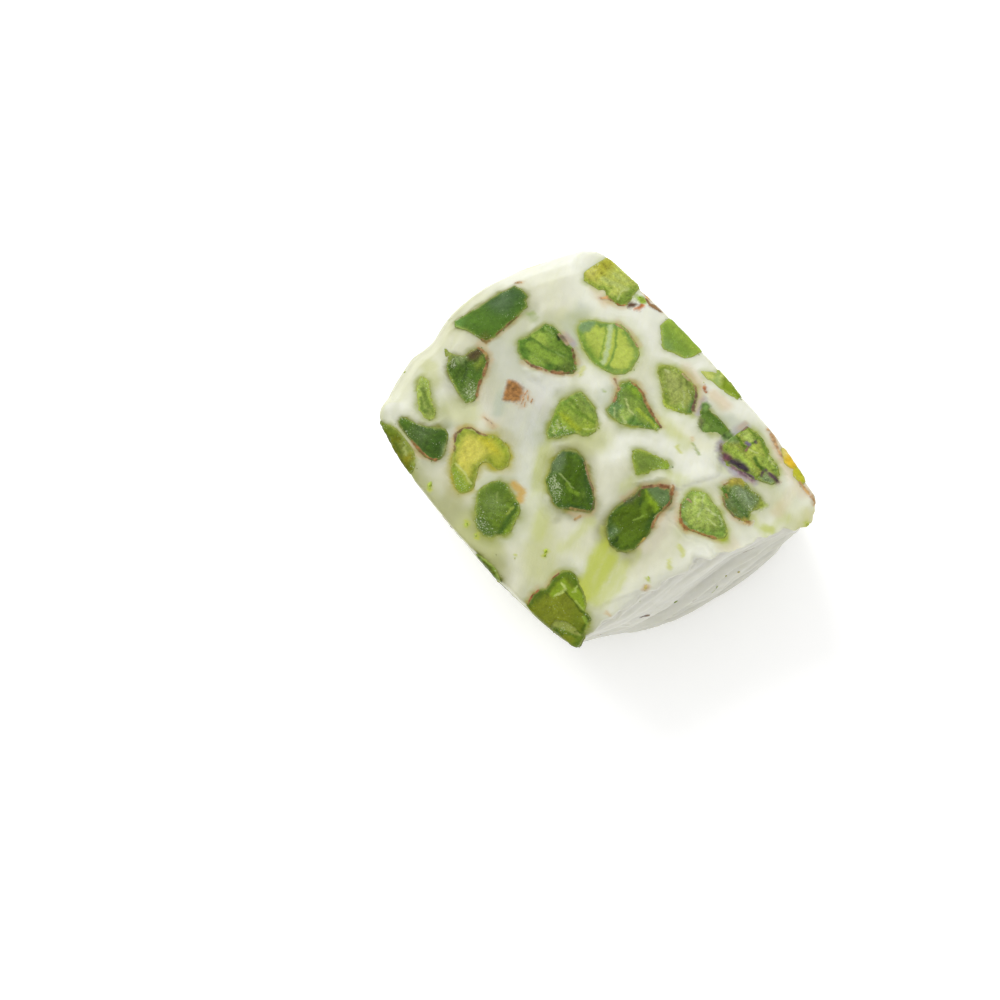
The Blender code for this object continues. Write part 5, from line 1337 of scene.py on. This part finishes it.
scrap_corners, scrap_faces, scrap_tones = [], [], []
for index, (tone, points, width, place) in enumerate(jobs):
    corners, faces, tones = lay_scrap(tone, points, width, place, index + 1)
    first = len(scrap_corners)
    scrap_corners += [corner * MM for corner in corners]
    scrap_faces += [[first + i for i in face] for face in faces]
    scrap_tones += tones
scraps = new_piece("skins_and_slivers", scrap_corners, scrap_faces, scrap_tones)

scrap_material, nodes, shader, where = new_material("nut skin")
skin_tone = add(nodes, "Attribute", attribute_name="tone").outputs["Color"]
skin_tone = times(nodes, skin_tone, ranged(nodes, noise_of(nodes, where, 5.0, 4.0), 0.84, 1.16))
scrap_material.node_tree.links.new(skin_tone, shader.inputs["Base Color"])
shader.inputs["Roughness"].default_value = 0.55
shader.inputs["Specular IOR Level"].default_value = 0.2
scraps.data.materials.append(scrap_material)
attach(scraps, "root")


# ---------------------------------------------------------------- the crumbs
# Crumbs of nut flesh, broken off where the knife goes through a kernel and pressed into the
# nougat beside it, and a few that the knife has carried further, over all the sides.

LOOSE_CRUMBS = 60
# The bigger ones on the cut face: tone, size in mm, and place
CRUMBS = [
    ((170, 190, 60), 0.24, 6.45, -10.1), ((170, 190, 60), 0.18, 6.75, -10.45),
    ((178, 196, 80), 0.18, 16.6, -10.7), ((164, 186, 72), 0.26, -6.8, -15.3),
    ((160, 182, 70), 0.16, -1.1, -14.8), ((168, 186, 80), 0.18, 0.5, -14.8),
    ((176, 184, 90), 0.09, 5, -13.1), ((168, 180, 90), 0.12, 15.4, -3.4),
    ((214, 200, 120), 0.2, 16, -4.3), ((186, 196, 100), 0.2, 21.3, 12.9),
    ((150, 168, 120), 0.12, 7.8, 5.8), ((182, 196, 90), 0.16, -0.9, 15.4),
    ((128, 150, 52), 0.14, -8, 14.6), ((120, 142, 44), 0.16, -8.7, 14.5),
    ((140, 110, 60), 0.12, -7.3, 14.9),
]


def crumb(tone, size, spot, out):
    """One crumb: a squashed lump of twenty faces, half sunk where it lies."""
    met, _ = surface(near_pieces(spot, 1), spot, out)
    if met is None:
        return
    ball = bmesh.new()
    bmesh.ops.create_icosphere(ball, subdivisions=1, radius=1)
    place, _ = in_order([tuple(met)], Vector(out))
    turn = Matrix.Rotation(chance.uniform(0, 6.3), 4, "Z")
    length, width = size * chance.uniform(0.7, 1.3), size * chance.uniform(0.5, 1.0)
    shape = Matrix.Diagonal((length, width, size * 0.55, 1))
    first = len(crumb_corners)
    for corner in ball.verts:
        lump = corner.co * (1 + 0.35 * noise.noise(corner.co * 1.7 + met * 5))
        crumb_corners.append((place @ turn @ shape @ lump) * MM)
        crumb_tones.append(rgb(tone) * (0.9 + 0.25 * noise.noise(corner.co * 2 + met * 3)))
    crumb_faces.extend([[first + v.index for v in face.verts] for face in ball.faces])
    ball.free()


crumb_corners, crumb_faces, crumb_tones = [], [], []
for tone, size, x, y in CRUMBS:
    crumb(tone, size, Vector((x, y, TOP)), Vector((0, 0, 1)))
for node in KERNELS:
    place, spots = outlines[node]
    out = place.to_3x3() @ Vector((0, 0, 1))
    look = CUT_KERNELS.get(node[10:]) or SIDE_LOOKS[0]
    for _ in range(chance.choice((1, 2, 3, 4)) if len(spots) > 4 else 0):
        i = chance.randrange(len(spots))
        spot = Vector(spots[i]).lerp(Vector(spots[i - 1]), chance.random()) * chance.uniform(1.0, 1.12)
        tone = tuple(0.6 * c + 0.4 * d for c, d in zip(look[chance.randrange(2)], (186, 196, 110)))
        crumb(tone, chance.uniform(0.06, 0.15), place @ Vector((*spot, 0)), out)
for _ in range(LOOSE_CRUMBS):
    spot, normal = side_spot(1, TOP - 1)
    tone = chance.choice([(170, 190, 70), (150, 174, 70), (186, 190, 110), (128, 152, 60), (206, 196, 130)])
    crumb(tone, chance.uniform(0.08, 0.26), spot, normal)
crumbs = new_piece("crumbs", crumb_corners, crumb_faces, crumb_tones)
mask(crumbs, "texture", np.full(len(crumb_corners), 0.6))
mask(crumbs, "bloom", np.full(len(crumb_corners), 0.1))
crumbs.data.materials.append(kernel_material)
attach(crumbs, "root")


# ---------------------------------------------------------------- floor, light and camera
# A plain white table under soft studio light: a broad lamp high on the bar's left, and light
# from all round. The camera looks down on the cut face.

bpy.ops.mesh.primitive_plane_add(size=4, location=(0, 0, 0))
floor = bpy.context.object
floor.name = "floor"
floor_material, nodes, shader, where = new_material("white table")
shader.inputs["Base Color"].default_value = colour(255, 255, 255, 1.0)
shader.inputs["Roughness"].default_value = 0.6
shader.inputs["Emission Color"].default_value = (1, 1, 1, 1)
shader.inputs["Emission Strength"].default_value = 0.12
floor.data.materials.append(floor_material)

world = bpy.data.worlds.new("studio")
bpy.context.scene.world = world
world.use_nodes = True
world.node_tree.nodes["Background"].inputs["Color"].default_value = (1, 1, 1, 1)
world.node_tree.nodes["Background"].inputs["Strength"].default_value = 0.92

LAMP_PLACE = Vector((-0.26, 0.04, 0.34))
LAMP_AIM = Vector((0, 0, 0.01))
bpy.ops.object.light_add(type="AREA", location=LAMP_PLACE)
lamp = bpy.context.object
lamp.name = "key"
lamp.data.shape = "DISK"
lamp.data.size = 0.26
lamp.data.energy = 1.0
lamp.rotation_euler = (LAMP_AIM - LAMP_PLACE).to_track_quat("-Z", "Y").to_euler()

CAMERA_PLACE = Vector((58.52, -14.63, 309.80)) * MM
CAMERA_AIM = Vector((-0.89, -10.50, 23.50)) * MM
PICTURE_UP = math.radians(142.15)
bpy.ops.object.camera_add(location=CAMERA_PLACE)
camera = bpy.context.object
camera.data.lens = 100
camera.data.sensor_width = 36
camera.data.clip_start = 0.01
back = (CAMERA_PLACE - CAMERA_AIM).normalized()
right = Vector((math.cos(PICTURE_UP), math.sin(PICTURE_UP), 0)).cross(back).normalized()
camera.rotation_euler = Matrix((right, back.cross(right), back)).transposed().to_euler()
bpy.context.scene.camera = camera
bpy.context.scene.view_settings.view_transform = "Standard"
